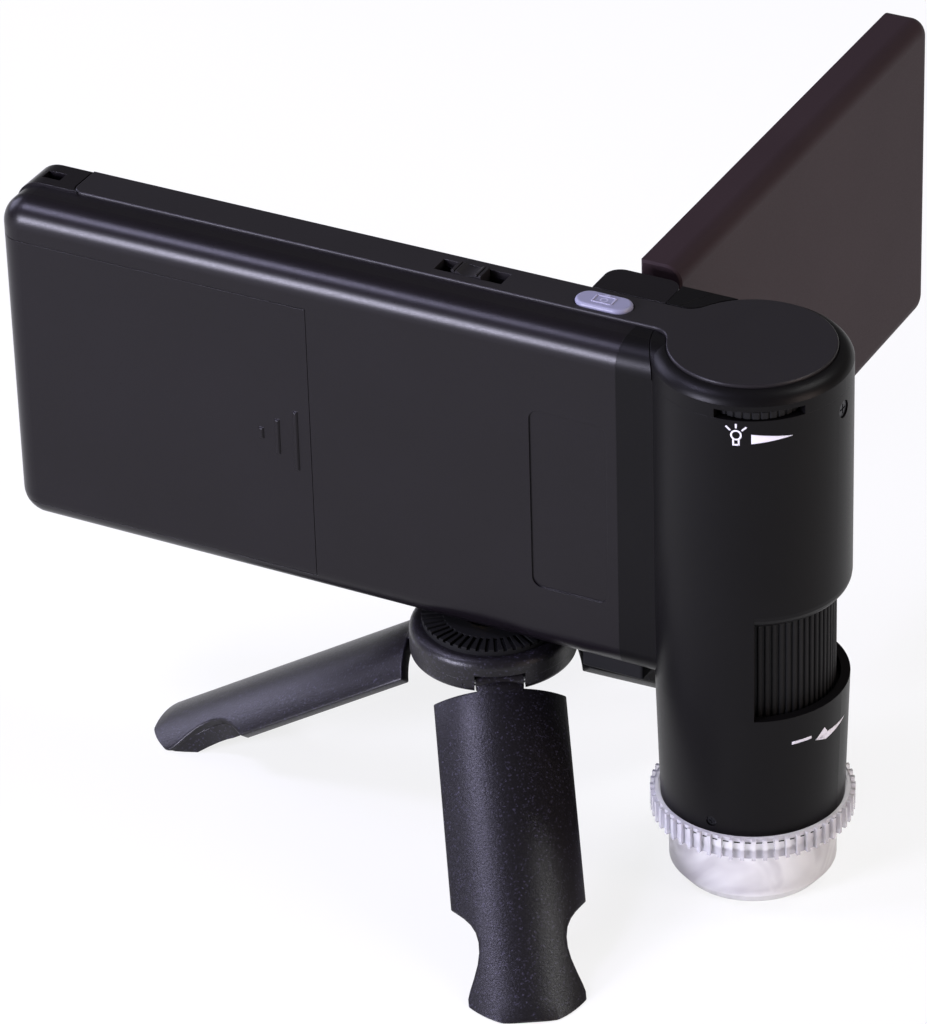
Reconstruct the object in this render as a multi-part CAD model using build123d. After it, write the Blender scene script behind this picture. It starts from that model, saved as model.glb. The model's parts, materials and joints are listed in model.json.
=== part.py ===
from build123d import *

import math
import os

# Handheld digital microscope with a swing-out screen and a folding table tripod.
# Millimetres. +X points from the body to the head, -Y is the rear cover's side, +Z is up.
# All sizes below are written from the optical axis (x = 0, y = 0) and the work surface (z = 0).
# The finished model is moved as one, so that its origin lies on the work surface under the
# middle of its footprint.

# ---- clearances -------------------------------------------------------------------------------
seam_gap = 0.12           # between two mouldings that meet at a visible seam
slide_gap = 0.20          # round a button or slider in its opening
running_gap = 0.05        # radial, a shaft in its bore
pin_length_gap = 0.30     # end play beside a hinge barrel

# ---- body: a slab with a rounded left end ------------------------------------------------------
body_end_x = -149.7
seam_x = -21.5            # where the body shells meet the head housing
rear_y = -11.0            # face of the rear shell
rear_shell_depth = 8.4
front_shell_depth = 8.3
body_bottom_z = 41.9
body_top_z = 110.1
wall = 1.8
end_corner_r = 5.5
rear_edge_r = 5.0
back_edge_r = 0.8
hollow_edge_r = 2.0

# ---- battery bay -------------------------------------------------------------------------------
cover_top_margin = 7.52    # body top to the cover's opening
cover_bottom_margin = 3.77
cover_wall = 1.6
cover_ledge = 1.4         # width of the shell's ledges behind the cover's long edges
ledge_thick = 0.8
cover_rail = 0.9          # thickness of the cover's rails that hook under the ledges
battery_length = 54.0
battery_side_margin = 6.45  # cover opening to the battery's side
battery_depth = 5.6
battery_end_gap = 2.4
contact_space = 4.0       # behind the battery, for its spring contacts
bay_end_margin = 3.44
bay_floor = 1.0
pocket_wall = 1.0
grip_ridges = ((3.1, 12.5), (7.0, 7.3), (10.4, 2.3))    # in from the cover's end, length

# ---- label recess and strap slot ---------------------------------------------------------------
label_width = 15.4
label_height = 37.2
label_depth = 0.3
label_end_gap = 2.1       # seam with the head to the label
label_top_margin = 17.1
strap_slot_y = (-0.3, 2.3)
strap_slot_reach = 8.2
strap_bar_width = 4.4
strap_slot_depth = 5.0

# ---- top plate, a racket-shaped inlay ------------------------------------------------------------
plate_proud = 0.6
plate_thick = 1.4
plate_end_x = -137.6
plate_disc_r = 15.2
plate_neck_r = 4.0

# ---- switch and buttons --------------------------------------------------------------------------
switch_window_x = (-63.0, -49.4)
switch_window_y = (-0.5, 3.5)
knob_length = 6.0
knob_x = -56.6
knob_height = 0.5         # above the top plate
switch_travel = 2.8
snap_x = -29.6
snap_y = 1.1
snap_length = 11.0
snap_width = 5.2
snap_proud = 0.7
button_travel = 0.6
flange = 0.9              # how far a button's hidden flange reaches past its opening
screw_inset = 5.0         # board edge to its screws
flange_thick = 0.7
key_r = 3.3
key_proud = 0.2
key_centre_x = -62.0
key_raise = 1.0           # middle key above the body's middle
key_spacing = 11.0

# ---- head ----------------------------------------------------------------------------------------
head_r = 18.0
barrel_bottom_r = 17.0
barrel_rim_r = 17.75
barrel_bottom_z = 16.2
cap_height = 5.0
cap_rim_drop = 2.2        # height of the cap's sloping rim
cap_rim_width = 2.6
cap_rim_bulge = 0.35
cap_skirt = 1.8
bore_r = 16.0
lower_bore_r = 15.2
wheel_ledge_z = 40.0
wheel_ledge_thick = 2.0
wheel_ledge_r = 12.4
board_ledge_drop = 5.7    # cap seam to the upper ledge
board_ledge_step = 0.4
window_bottom_z = 42.2
window_top_z = 61.4
window_half_angle = 64.0
window_edge_r = 3.0

# ---- brightness wheel ----------------------------------------------------------------------------
dimmer_angle = -60.5
dimmer_half_angle = 26.3
dimmer_slot_height = 1.8
dimmer_r = 9.1
dimmer_offset = 8.7
dimmer_thick = 1.3
dimmer_teeth = 36
dimmer_shaft_r = 1.5

# ---- focus drive -----------------------------------------------------------------------------------
focus_wheel_r = 15.2
focus_rib_depth = 0.4
focus_ribs = 72
guide_r = 11.2
guide_wall = 1.0
guide_bottom_z = 28.0
guide_flange_thick = 1.5
carriage_wall = 1.5
carriage_length = 16.0
carriage_z = 44.5
carriage_travel = 6.0     # each way
drive_pitch = 14.4        # lens travel for one turn of the wheel
drive_pin_r = 1.0
drive_pin_gap = 0.08
drive_pin_root = 9.0      # optical axis to the pins' inner ends
drive_groove_depth = 1.2
drive_pin_angles = (90.0, 270.0)

# ---- optics and lamps ------------------------------------------------------------------------------
front_lens_r = 6.4
front_lens_thick = 3.2
rear_lens_r = 5.0
rear_lens_thick = 2.4
lens_bulge = 0.9
camera_board_drop = 26.1  # body top to the camera board's underside
board_thick = 1.4
sensor_size = 8.0
sensor_thick = 1.2
led_board_z = 24.0
led_board_hole_r = 7.0
led_count = 8
led_circle_r = 10.4
led_r = 1.2
led_length = 2.2

# ---- nose cap --------------------------------------------------------------------------------------
nose_height = 12.7
nose_r = 15.5
nose_wall = 1.5
nose_chamfer = 2.4
nose_rim_r = 11.0
ring_tip_r = 18.9
ring_root_r = 18.1
ring_height = 4.3
ring_lip = 0.7
ring_ribs = 56
ring_rib_width = 0.7
spigot_height = 5.0
spigot_r = 15.0

# ---- hinge and lid ---------------------------------------------------------------------------------
hinge_x = -27.2
hinge_axis_back = 4.8     # swing axis behind the body's back face
hinge_block_left = 7.0    # swing axis to the blocks' ends
hinge_block_right = 7.4
hinge_block_back = 8.0
hinge_block_height = 13.8
hinge_block_r = 3.0
hinge_cap = 2.5           # closed end of each block over the pin
hinge_pin_r = 1.5
knuckle_r = 3.2
knuckle_arm = 8.4         # swing axis to the arm's end
knuckle_arm_height = 26.0
knuckle_edge_r = 1.2
tilt_shaft_r = 1.8
tilt_head_r = 2.1
tilt_head_thick = 0.8
web_back = 6.9            # web between the head and the top hinge block, behind the body's back face
lid_top_drop = 0.1        # body top to the lid's top
lid_thick = 8.2
lid_near_gap = 0.3        # arm's end to the lid's near end
lid_far_corner_r = 4.0
lid_near_chamfer = 0.4
lid_outer_edge_r = 3.2
lid_wall = 1.3
lid_rim = 0.8             # rim of the lid's back round the screen bezel
lid_screw_inset = 7.0     # lid's long edges to its screws
lid_screw_end = 2.0       # lid's near wall to its screws
lid_boss_r = 2.6
screen_length = 89.0
screen_height = 50.0
screen_near_margin = 15.2
screen_far_margin = 6.8
screen_side_margin = 7.6
glass_margin = 3.2
panel_margin = 2.8
glass_thick = 0.8
panel_thick = 2.4
bracket_length = 5.2
bracket_height = 14.0
lid_board_end_margin = 14.5   # screen's end to the board's
lid_board_side_margin = 7.0
lid_board_thick = 0.8

# ---- port cover under the body -----------------------------------------------------------------------
port_cover_x = (-31.0, -18.6)
port_cover_y = (-7.4, 3.6)
port_cover_thick = 3.4
port_x = (-30.0, -22.6)
port_y = (-1.6, 1.8)
port_plug = 2.6

# ---- tripod ------------------------------------------------------------------------------------------
hub_x = -51.8
hub_r = 15.6
hub_bottom_z = 33.9
hub_seam_z = 36.5
hub_shoulder_z = 40.5
hub_shoulder_r = 1.8
pad_r = 13.2
pad_ribs = 48
pad_rib_reach = 4.0
stud_r = 3.15
socket_r = 5.0
socket_boss_r = 7.0
socket_length = 9.0
stud_reach = 6.5
leg_angles = (-58.0, 62.0, 182.0)
leg_spread = 58.0         # from straight down
leg_length = 68.0         # hinge pin to the tip
leg_crown = 14.5          # hub axis to the leg's outer face, with the leg folded
leg_half_width = 12.4
leg_sagitta = 5.3         # how far the leg's long edges lie inside its crown
leg_wall = 2.2
leg_top_gap = 2.5         # hinge pin to the leg's top edge
leg_pin_out = 13.0        # hub axis to hinge pin
leg_pin_z = 35.3
leg_pin_r = 1.0
leg_barrel_r = 1.9
leg_barrel_width = 8.8
leg_shoulder = 43.5       # along the leg from the hinge pin
leg_waist = 51.0
leg_flare = 61.5
leg_waist_half = 8.7
leg_flare_half = 10.75
foot_plate_r = (7.3, 8.7)     # hub axis to the plate's faces, with the leg folded
foot_plate_top = 40.0
foot_plate_half = 10.7

# ---- places that follow from the sizes above ---------------------------------------------------------
split_y = rear_y + rear_shell_depth
back_y = split_y + front_shell_depth
mid_y = (rear_y + back_y) / 2
mid_z = (body_bottom_z + body_top_z) / 2
cover_top_z = body_top_z - cover_top_margin
cover_bottom_z = body_bottom_z + cover_bottom_margin
grip_z = (cover_top_z + cover_bottom_z) / 2
battery_width = cover_top_z - cover_bottom_z - 2 * battery_side_margin
battery_x = body_end_x + wall + battery_end_gap
cover_right_x = battery_x + battery_length + contact_space + bay_end_margin
key_centre_z = mid_z + key_raise
label_right_x = seam_x - label_end_gap
label_top_z = body_top_z - label_top_margin
cap_seam_z = body_top_z - cap_height
board_ledge_z = cap_seam_z - board_ledge_drop
camera_board_z = body_top_z - camera_board_drop
plate_top_z = body_top_z + plate_proud
plate_bottom_z = plate_top_z - plate_thick
hollow_top_z = body_top_z - wall
hollow_back_y = back_y - wall
hinge_y = back_y + hinge_axis_back
hinge_block_x = (hinge_x - hinge_block_left, hinge_x + hinge_block_right)
lid_length = screen_near_margin + screen_length + screen_far_margin
lid_height = screen_height + 2 * screen_side_margin
lid_near_y = hinge_y + knuckle_arm + lid_near_gap
lid_far_y = lid_near_y + lid_length
lid_top_z = body_top_z - lid_top_drop
lid_mid_z = lid_top_z - lid_height / 2
hinge_top_z = plate_top_z
hinge_bottom_z = 2 * lid_mid_z - hinge_top_z
lid_inner_x = hinge_x - lid_thick / 2
lid_outer_x = hinge_x + lid_thick / 2
lid_bottom_z = lid_top_z - lid_height
screen_mid_y = lid_near_y + screen_near_margin + screen_length / 2
board_y = back_y - wall - 3.3
board_back_y = board_y + board_thick
dimmer_x = dimmer_offset * math.cos(math.radians(dimmer_angle))
dimmer_y = dimmer_offset * math.sin(math.radians(dimmer_angle))
dimmer_z = cap_seam_z + (dimmer_slot_height - dimmer_thick) / 2
carriage_r = guide_r - guide_wall - running_gap
guide_top_z = window_top_z + window_edge_r + guide_flange_thick
carriage_pin_z = carriage_z + carriage_length / 2
leg_r = (leg_half_width ** 2 + leg_sagitta ** 2) / (2 * leg_sagitta)
leg_centre = leg_crown - leg_r
leg_half_angle = math.degrees(math.asin(leg_half_width / leg_r))
through = 400.0           # longer than the object: a cut that goes all the way


# ---- helpers -----------------------------------------------------------------------------------------
def block(x, y, z):
    """A box between two corners, each side given as (low, high)."""
    place = Pos((x[0] + x[1]) / 2, (y[0] + y[1]) / 2, (z[0] + z[1]) / 2)
    return place * Box(x[1] - x[0], y[1] - y[0], z[1] - z[0])


def rod(radius, z, x=0.0, y=0.0):
    """A vertical cylinder."""
    return Pos(x, y, (z[0] + z[1]) / 2) * Cylinder(radius, z[1] - z[0])


def rod_y(radius, y, x, z):
    """A cylinder along Y."""
    return Pos(x, (y[0] + y[1]) / 2, z) * Rot(90, 0, 0) * Cylinder(radius, y[1] - y[0])


def rod_x(radius, x, y, z):
    """A cylinder along X."""
    return Pos((x[0] + x[1]) / 2, y, z) * Rot(0, 90, 0) * Cylinder(radius, x[1] - x[0])


def ring(outer, inner, z, x=0.0, y=0.0):
    """A vertical tube."""
    return rod(outer, z, x, y) - rod(inner, (z[0] - 1, z[1] + 1), x, y)


def spun(points, angle=360.0, start=0.0):
    """A closed (radius, height) outline turned round the optical axis."""
    outline = Plane.XZ * make_face(Polyline(*points, close=True))
    return Rot(0, 0, start) * revolve(outline, Axis.Z, angle)


def wedge(half_angle, middle, z, reach=40.0):
    """A pie slice about the optical axis."""
    return Rot(0, 0, middle - half_angle) * spun([(0, z[0]), (reach, z[0]), (reach, z[1]), (0, z[1])],
                                                  2 * half_angle)


def oval(length, width, z, x, y):
    """An upright oval bar, long along X."""
    return Pos(x, y, z[0]) * extrude(SlotOverall(length, width), z[1] - z[0])


def around(angle, shape):
    return Rot(0, 0, angle) * shape


def grown(span, amount):
    return (span[0] - amount, span[1] + amount)


# ---- body --------------------------------------------------------------------------------------------
def body_form(inset, edge_r, top_z=body_top_z):
    """The slab that the body and the head's saddle share, or its hollow when it is inset."""
    right_x = 0.0
    form = block((body_end_x + inset, right_x), (rear_y + inset, back_y - inset),
                 (body_bottom_z + inset, top_z - inset))
    form = fillet(form.edges().filter_by(Axis.Y).group_by(Axis.X)[0], end_corner_r - inset)
    rear_loop = [e for e in form.faces().sort_by(Axis.Y)[0].edges() if e.center().X < right_x - 1]
    form = fillet(rear_loop, edge_r)
    if inset == 0:
        back_loop = [e for e in form.faces().sort_by(Axis.Y)[-1].edges() if e.center().X < right_x - 1]
        form = fillet(back_loop, back_edge_r)
    return form


def plate_outline(gap=0.0):
    """The racket shape of the top plate: a strip along the body and a disc over the head."""
    strip = make_face(Polyline((plate_end_x - gap, split_y - gap), (0, split_y - gap),
                               (0, back_y + gap), (plate_end_x - gap, back_y + gap), close=True))
    racket = strip + Circle(plate_disc_r + gap)
    neck = [v for v in racket.vertices() if abs(v.X) < plate_disc_r + 2 and abs(v.Y) < plate_disc_r - 2]
    racket = fillet(neck, plate_neck_r)
    tip = racket.vertices().group_by(Axis.X)[0].sort_by(Axis.Y)[0]
    return fillet(tip, 2.0)


def plate_recess():
    return Pos(0, 0, plate_bottom_z) * extrude(plate_outline(seam_gap), 10)


def shell_halves():
    """The two body mouldings before their openings are cut. The front one rises to the top plate's face."""
    solid = body_form(wall, hollow_edge_r) + block((seam_x, 10), (-50, 50), (0, 200))
    rear_half = body_form(0, rear_edge_r) - block((-200, 10), (split_y, 50), (0, 200))
    front_half = body_form(0, rear_edge_r, plate_top_z) - block((-200, 10), (-50, split_y), (0, 200))
    return rear_half - solid, front_half - solid


def rear_shell(half):
    x_open = (body_end_x - 1, cover_right_x)
    shell = half - block(x_open, (rear_y - 1, split_y), (cover_bottom_z, cover_top_z))
    hollow = body_form(wall - 0.01, hollow_edge_r)
    floor = block((body_end_x, cover_right_x + 1), (split_y - bay_floor, split_y), (body_bottom_z, body_top_z))
    end_wall = block((cover_right_x, cover_right_x + 1), (rear_y + wall - 0.1, split_y),
                     (body_bottom_z, body_top_z))
    shell += (floor + end_wall) & hollow
    for edge, inward in ((cover_bottom_z, 1), (cover_top_z, -1)):
        ledge = sorted((edge + inward * cover_ledge, edge - inward * 1.0))
        shell += block((body_end_x + wall + 2, cover_right_x + 0.5), ledge_y(), ledge) & hollow
    low_z = (cover_bottom_z + cover_top_z - battery_width) / 2
    pocket_x = (battery_x - seam_gap, battery_x + battery_length + contact_space)
    pocket_z = grown((low_z, low_z + battery_width), seam_gap)
    pocket_y = (rear_y + cover_wall + slide_gap, split_y)
    shell += (block(grown(pocket_x, pocket_wall), pocket_y, grown(pocket_z, pocket_wall))
              - block(pocket_x, (rear_y, split_y - bay_floor), pocket_z))
    label_x = (label_right_x - label_width, label_right_x)
    label = block(label_x, (rear_y - 1, rear_y + label_depth), (label_top_z - label_height, label_top_z))
    shell -= fillet(label.edges().filter_by(Axis.Y), 2.0)
    shell = with_socket_boss(shell, (rear_y + wall, split_y))
    return shell - plate_recess()


def with_socket_boss(shell, y):
    """The shell with its half of the boss that holds the tripod's brass insert."""
    z = (body_bottom_z + wall - 0.1, body_bottom_z + socket_length)
    boss = rod(socket_boss_r, z, hub_x, mid_y) & block((-200, 50), y, z)
    return shell + boss - rod(socket_r, (0, z[1] + 1), hub_x, mid_y)


def strap_slot():
    """A pocket through the end's top corner, with a bar left standing over its middle."""
    slot_top = plate_top_z + 1
    top = block((body_end_x + strap_bar_width, body_end_x + strap_slot_reach), strap_slot_y,
                (body_top_z - strap_slot_depth, slot_top))
    end = block((body_end_x - 1, body_end_x + 1.2), strap_slot_y, (body_top_z - end_corner_r, slot_top))
    return top + end


def front_shell(half):
    shell = half - plate_recess() - strap_slot()
    for x, z in board_screw_places():
        shell += rod_y(2.4, (board_back_y, hollow_back_y + 0.2), x, z)
        shell -= rod_y(0.9, (board_back_y - 1, hollow_back_y - 0.4), x, z)
    for x, z in key_places().values():
        shell -= rod_y(key_r + slide_gap, (hollow_back_y - 1, back_y + 1), x, z)
    shell -= block(switch_window_x, switch_window_y, (hollow_top_z - 1, body_top_z + 2))
    shell -= oval(snap_length + 2 * slide_gap, snap_width + 2 * slide_gap,
                  (hollow_top_z - 1, body_top_z + 2), snap_x, snap_y)
    shelf_x = (switch_window_x[0] - 3, seam_x - 1.5)
    shell += block(shelf_x, (board_back_y + 0.3, hollow_back_y + 0.2), (top_board_z() - 1.2, top_board_z()))
    shell -= block(grown(port_x, slide_gap), grown(port_y, slide_gap), (body_bottom_z - 1, body_bottom_z + wall + 1))
    return with_socket_boss(shell, (split_y, hollow_back_y))


def ledge_y():
    """Depth of the ledges that the battery cover slides on."""
    front = rear_y + cover_wall + seam_gap
    return (front, front + ledge_thick)


def battery_cover():
    form = body_form(0, rear_edge_r) - body_form(cover_wall, hollow_edge_r)
    span = (cover_bottom_z + seam_gap, cover_top_z - seam_gap)
    right_x = cover_right_x - seam_gap
    cover = form & block((body_end_x - 1, right_x), (rear_y - 1, split_y - seam_gap), span)
    inner_y = rear_y + cover_wall
    rail_x = (body_end_x + wall + 6, right_x)
    hook_y = ledge_y()[1] + slide_gap
    for edge, inward in ((cover_bottom_z, 1), (cover_top_z, -1)):
        web_z = edge + inward * (cover_ledge + slide_gap)
        web = sorted((web_z, web_z + inward * cover_rail))
        hook = sorted((edge + inward * slide_gap * 2, web[1] if inward > 0 else web[0]))
        cover += block(rail_x, (inner_y - 0.2, hook_y + cover_rail), web)
        cover += block(rail_x, (hook_y, hook_y + cover_rail), hook)
    for inset, length in grip_ridges:
        x = cover_right_x - inset
        ridge = block((x - 0.5, x + 0.5), (rear_y - 0.35, rear_y + 0.2), (grip_z - length / 2, grip_z + length / 2))
        cover += chamfer(ridge.faces().sort_by(Axis.Y)[0].edges(), 0.25)
    return cover


def battery():
    low_z = (cover_bottom_z + cover_top_z - battery_width) / 2
    y = (split_y - bay_floor - seam_gap - battery_depth, split_y - bay_floor - seam_gap)
    pack = block((battery_x, battery_x + battery_length), y, (low_z, low_z + battery_width))
    return fillet(pack.edges().filter_by(Axis.X), 1.5)


def battery_contacts():
    """A moulded block at the end of the bay that carries three spring blades."""
    x = battery_x + battery_length
    y = (rear_y + cover_wall + 1.0, split_y - bay_floor)
    holder = block((x + 1.2, x + contact_space - seam_gap), y, (grip_z - 8, grip_z + 8))
    for step in (-1, 0, 1):
        z = grip_z + 5 * step
        holder += block((x + 0.1, x + 2.0), (y[0] + 1.2, y[1] - 0.8), (z - 0.8, z + 0.8))
    return holder


def top_board_z():
    """Top face of the shelf that carries the switch board."""
    return hollow_top_z - 4.9


def main_board_span():
    """The main board's width along X and height along Z."""
    return ((body_end_x + wall + 2, seam_x - 2.5), (body_bottom_z + wall + 2.4, top_board_z() - 2.0))


def board_screw_places():
    x, z = main_board_span()
    low, high = z[0] + screw_inset, z[1] - screw_inset
    middle_x = cover_right_x + screw_inset
    right_x = hub_x + socket_boss_r + screw_inset
    return [(x[0] + screw_inset, low), (x[0] + screw_inset, high), (middle_x, low), (right_x, low), (right_x, high)]


def main_board():
    x_span, z = main_board_span()
    board = block(x_span, (board_y, board_back_y), z)
    upper, lower = z[1] - 16.0, z[0] + 16.0
    chips = [(-76.0, upper, 14.0, 14.0, 1.2), (-56.0, upper, 10.0, 12.0, 1.0), (-60.0, lower, 9.0, 9.0, 1.6),
             (-38.0, upper - 8.0, 6.0, 10.0, 2.2), (-76.0, lower, 8.0, 5.0, 1.4)]
    for x, zc, width, height, tall in chips:
        board += block((x - width / 2, x + width / 2), (board_y - tall, board_y + 0.1),
                       (zc - height / 2, zc + height / 2))
    for x, zc in key_places().values():
        board += block((x - 2, x + 2), (board_back_y - 0.1, board_back_y + 0.3), (zc - 2, zc + 2))
    for x, zc in board_screw_places():
        board -= rod_y(1.1, (board_y - 1, board_back_y + 1), x, zc)
    boss_side = socket_boss_r + 0.5
    board -= block((hub_x - boss_side, hub_x + boss_side), (board_y - 1, board_back_y + 1),
                   (0, body_bottom_z + socket_length + 0.5))
    return board


def board_screws():
    screws = []
    for x, z in board_screw_places():
        head = rod_y(1.9, (board_y - 1.1, board_y), x, z)
        slot = block((x - 1.3, x + 1.3), (board_y - 1.2, board_y - 0.7), (z - 0.3, z + 0.3))
        screws.append(head + rod_y(0.85, (board_y - 0.1, hollow_back_y - 0.6), x, z) - slot)
    return screws


def key_places():
    step = key_spacing
    return {"menu_key_ok": (key_centre_x, key_centre_z),
            "menu_key_up": (key_centre_x, key_centre_z + step),
            "menu_key_down": (key_centre_x, key_centre_z - step),
            "menu_key_left": (key_centre_x - step, key_centre_z),
            "menu_key_right": (key_centre_x + step, key_centre_z)}


def menu_key(x, z):
    flange_y = (hollow_back_y - 0.1 - flange_thick, hollow_back_y - 0.1)
    stem = rod_y(key_r, (flange_y[0], back_y + key_proud), x, z)
    stem = fillet(stem.faces().sort_by(Axis.Y)[-1].edges(), 0.25)
    return stem + rod_y(key_r + flange, flange_y, x, z)


def top_plate():
    plate = Pos(0, 0, plate_bottom_z) * extrude(plate_outline(), plate_thick)
    plate = fillet(plate.edges().group_by(Axis.Z)[-1], 0.3)
    plate -= block(switch_window_x, switch_window_y, (0, 200))
    return plate - oval(snap_length + 2 * slide_gap, snap_width + 2 * slide_gap, (0, 200), snap_x, snap_y)


def power_switch_knob():
    """A saddle-shaped knob on a base that runs under the shell's top wall."""
    y = grown(switch_window_y, -slide_gap)
    base_z = (hollow_top_z - 0.2 - 1.2, hollow_top_z - 0.2)
    base_half = (switch_window_x[1] - switch_window_x[0]) / 2 + switch_travel
    mid_x = knob_x
    base_y = (switch_window_y[0] - 0.8, hollow_back_y - slide_gap)
    base = block((mid_x - base_half, mid_x + base_half), base_y, base_z)
    x = (mid_x - knob_length / 2, mid_x + knob_length / 2)
    knob = block(x, y, (base_z[1] - 0.1, plate_top_z + knob_height))
    saddle = Pos(mid_x, 0, plate_top_z + knob_height + 2.6) * Rot(90, 0, 0) * Cylinder(3.2, 20)
    knob -= saddle
    for side in (-1, 1):
        knob -= block((mid_x + side * 2.3 - 0.15, mid_x + side * 2.3 + 0.15), (-10, 10),
                      (plate_top_z + knob_height - 0.3, plate_top_z + 5))
    return base + knob


def switch_board():
    """Carries the slide switch and the snapshot button's push switch."""
    z = (top_board_z(), top_board_z() + 1.2)
    board = block((switch_window_x[0] - 3, seam_x - 1.8), (switch_window_y[0] - 1.0, hollow_back_y - 0.2), z)
    part_top = hollow_top_z - 0.2 - 1.2 - seam_gap
    board += block(grown(switch_window_x, 1), switch_window_y, (z[1] - 0.1, part_top))
    snap_under = hollow_top_z - 0.2 - flange_thick
    return board + rod(2.0, (z[1] - 0.1, snap_under - button_travel - 0.1), snap_x, snap_y)


def snapshot_button():
    under = hollow_top_z - 0.2
    button = oval(snap_length, snap_width, (under - 0.1, plate_top_z + snap_proud), snap_x, snap_y)
    button = fillet(button.edges().group_by(Axis.Z)[-1], 0.6)
    return button + oval(snap_length + 2 * flange, snap_width, (under - flange_thick, under), snap_x, snap_y)


def port_cover():
    """A soft plug over the charging socket, with a tongue that enters the wall."""
    z = (body_bottom_z - port_cover_thick, body_bottom_z)
    cap = block(port_cover_x, port_cover_y, z)
    cap = fillet(cap.edges().filter_by(Axis.Z) + cap.faces().sort_by(Axis.Z)[0].edges(), 0.6)
    cap -= rod(head_r + 0.3, (0, 100))
    return cap + block(port_x, port_y, (z[1] - 0.1, z[1] + port_plug))


def charging_socket():
    """A metal-shelled socket on the board, open downwards towards the port."""
    z = (body_bottom_z + wall + 1.4, body_bottom_z + wall + 8.0)
    x = grown(port_x, -0.4)
    y = (board_y - 3.4, board_y)
    shell = block(x, y, z)
    return shell - block(grown(x, -0.5), grown(y, -0.5), (z[0] - 1, z[1] - 1.0))


# ---- head --------------------------------------------------------------------------------------------
def head_housing():
    """The upright tube with its saddle towards the body, its window and its ledges, in one moulding."""
    rim_z = (barrel_bottom_z, window_bottom_z, window_top_z)
    tube = spun([(0, rim_z[0]), (barrel_bottom_r, rim_z[0]), (barrel_rim_r, rim_z[1]), (head_r, rim_z[2]),
                 (head_r, cap_seam_z), (0, cap_seam_z)])
    form = body_form(0, rear_edge_r)
    hollow = body_form(wall, hollow_edge_r)
    saddle_span = block((seam_x, 0), (-50, 50), (0, 200))
    saddle = (form & saddle_span) - hollow - rod(head_r + seam_gap, (cap_seam_z, 200))
    housing = tube + saddle + (hinge_web() - rod(head_r + seam_gap, (cap_seam_z, 200)))
    housing -= rod(lower_bore_r, (0, wheel_ledge_z - wheel_ledge_thick))
    housing -= rod(wheel_ledge_r, (0, 200))
    housing -= rod(bore_r, (wheel_ledge_z, 200))
    housing -= rod(bore_r + board_ledge_step, (board_ledge_z, 200))
    housing += ring(bore_r + 0.2, bore_r - 1.2, (camera_board_z - 1.2, camera_board_z))
    housing += ring(lower_bore_r + 0.2, lower_bore_r - 1.0,
                    (led_board_z + board_thick, led_board_z + board_thick + 1.0))
    corner = (bore_r - 1.0, window_top_z + window_edge_r)
    arc = [(corner[0] + window_edge_r * math.cos(math.radians(a)),
            corner[1] - window_edge_r * math.sin(math.radians(a))) for a in range(0, 91, 15)]
    cut = [(14.0, window_bottom_z), (30.0, window_bottom_z), (30.0, corner[1])] + arc + [(14.0, window_top_z)]
    housing -= spun(cut, 2 * window_half_angle, -window_half_angle)
    housing -= plate_recess()
    for angle, z, size in head_screw_places():
        radius = barrel_radius(z)
        housing -= around(angle, Pos(radius, 0, z) * Rot(0, 90, 0) * Cylinder(size + 0.15, 2.0))
        housing -= around(angle, Pos(radius - 1, 0, z) * Rot(0, 90, 0) * Cylinder(size * 0.5, 6.0))
    return housing


def hinge_web():
    """The web that fills the corner between the head's tube, the body and the top hinge block."""
    web = block((hinge_block_x[1] + seam_gap, -bore_r / 2), (back_y - wall, back_y + web_back),
                (hinge_top_z - hinge_block_height, hinge_top_z))
    return web - block((-200, seam_x), (-50, 50), (0, 200))


def barrel_radius(z):
    """Outer radius of the head's tube at a height."""
    if z >= window_top_z:
        return head_r
    rise = (z - barrel_bottom_z) / (window_bottom_z - barrel_bottom_z)
    return barrel_bottom_r + rise * (barrel_rim_r - barrel_bottom_r)


def head_screw_places():
    """Angle about the axis, height and head radius of the two screws in the head's wall."""
    return [(-2.0, cap_seam_z - 3.3, 1.5), (-91.0, barrel_bottom_z + 2.8, 0.9)]


def head_screws():
    screws = []
    for angle, z, size in head_screw_places():
        radius = barrel_radius(z)
        head = Pos(radius - 0.65, 0, z) * Rot(0, 90, 0) * Cylinder(size, 0.7)
        shank = Pos(radius - 1.3, 0, z) * Rot(0, 90, 0) * Cylinder(size * 0.45, 1.4)
        cross = Pos(radius, 0, z) * (Box(1.0, size * 1.3, 0.35) + Box(1.0, 0.35, size * 1.3))
        screws.append(around(angle, head + shank - cross))
    return screws


def head_cap():
    """The lid of the head: a short skirt, a sloping rim and a seat for the top plate's disc."""
    skirt_r = head_r - cap_skirt
    rim_low, rim_high = (head_r, body_top_z - cap_rim_drop), (head_r - cap_rim_width, body_top_z)
    bulge = ((rim_low[0] + rim_high[0]) / 2 + cap_rim_bulge, (rim_low[1] + rim_high[1]) / 2 + cap_rim_bulge)
    outline = (Polyline(rim_high, (0, body_top_z), (0, body_top_z - wall), (skirt_r, body_top_z - wall),
                        (skirt_r, cap_seam_z), (head_r, cap_seam_z), rim_low)
               + ThreePointArc(rim_low, bulge, rim_high))
    cap = revolve(Plane.XZ * make_face(outline), Axis.Z)
    saddle_top = (body_form(0, rear_edge_r) + hinge_web()) & rod(head_r, (cap_seam_z, 200))
    cap += saddle_top - rod(skirt_r, (0, body_top_z - wall))
    cap -= plate_recess()
    return cap - wedge(dimmer_half_angle, dimmer_angle, (cap_seam_z - 1, cap_seam_z + dimmer_slot_height))


def brightness_wheel():
    wheel = rod(dimmer_r, (0, dimmer_thick))
    for step in range(dimmer_teeth):
        notch = Pos(dimmer_r + 0.15, 0, 0) * Rot(0, 0, 45) * Box(0.6, 0.6, 10)
        wheel -= around(step * 360 / dimmer_teeth, notch)
    wheel -= rod(dimmer_shaft_r + running_gap, (-1, dimmer_thick + 1))
    return Pos(dimmer_x, dimmer_y, dimmer_z) * wheel


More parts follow.
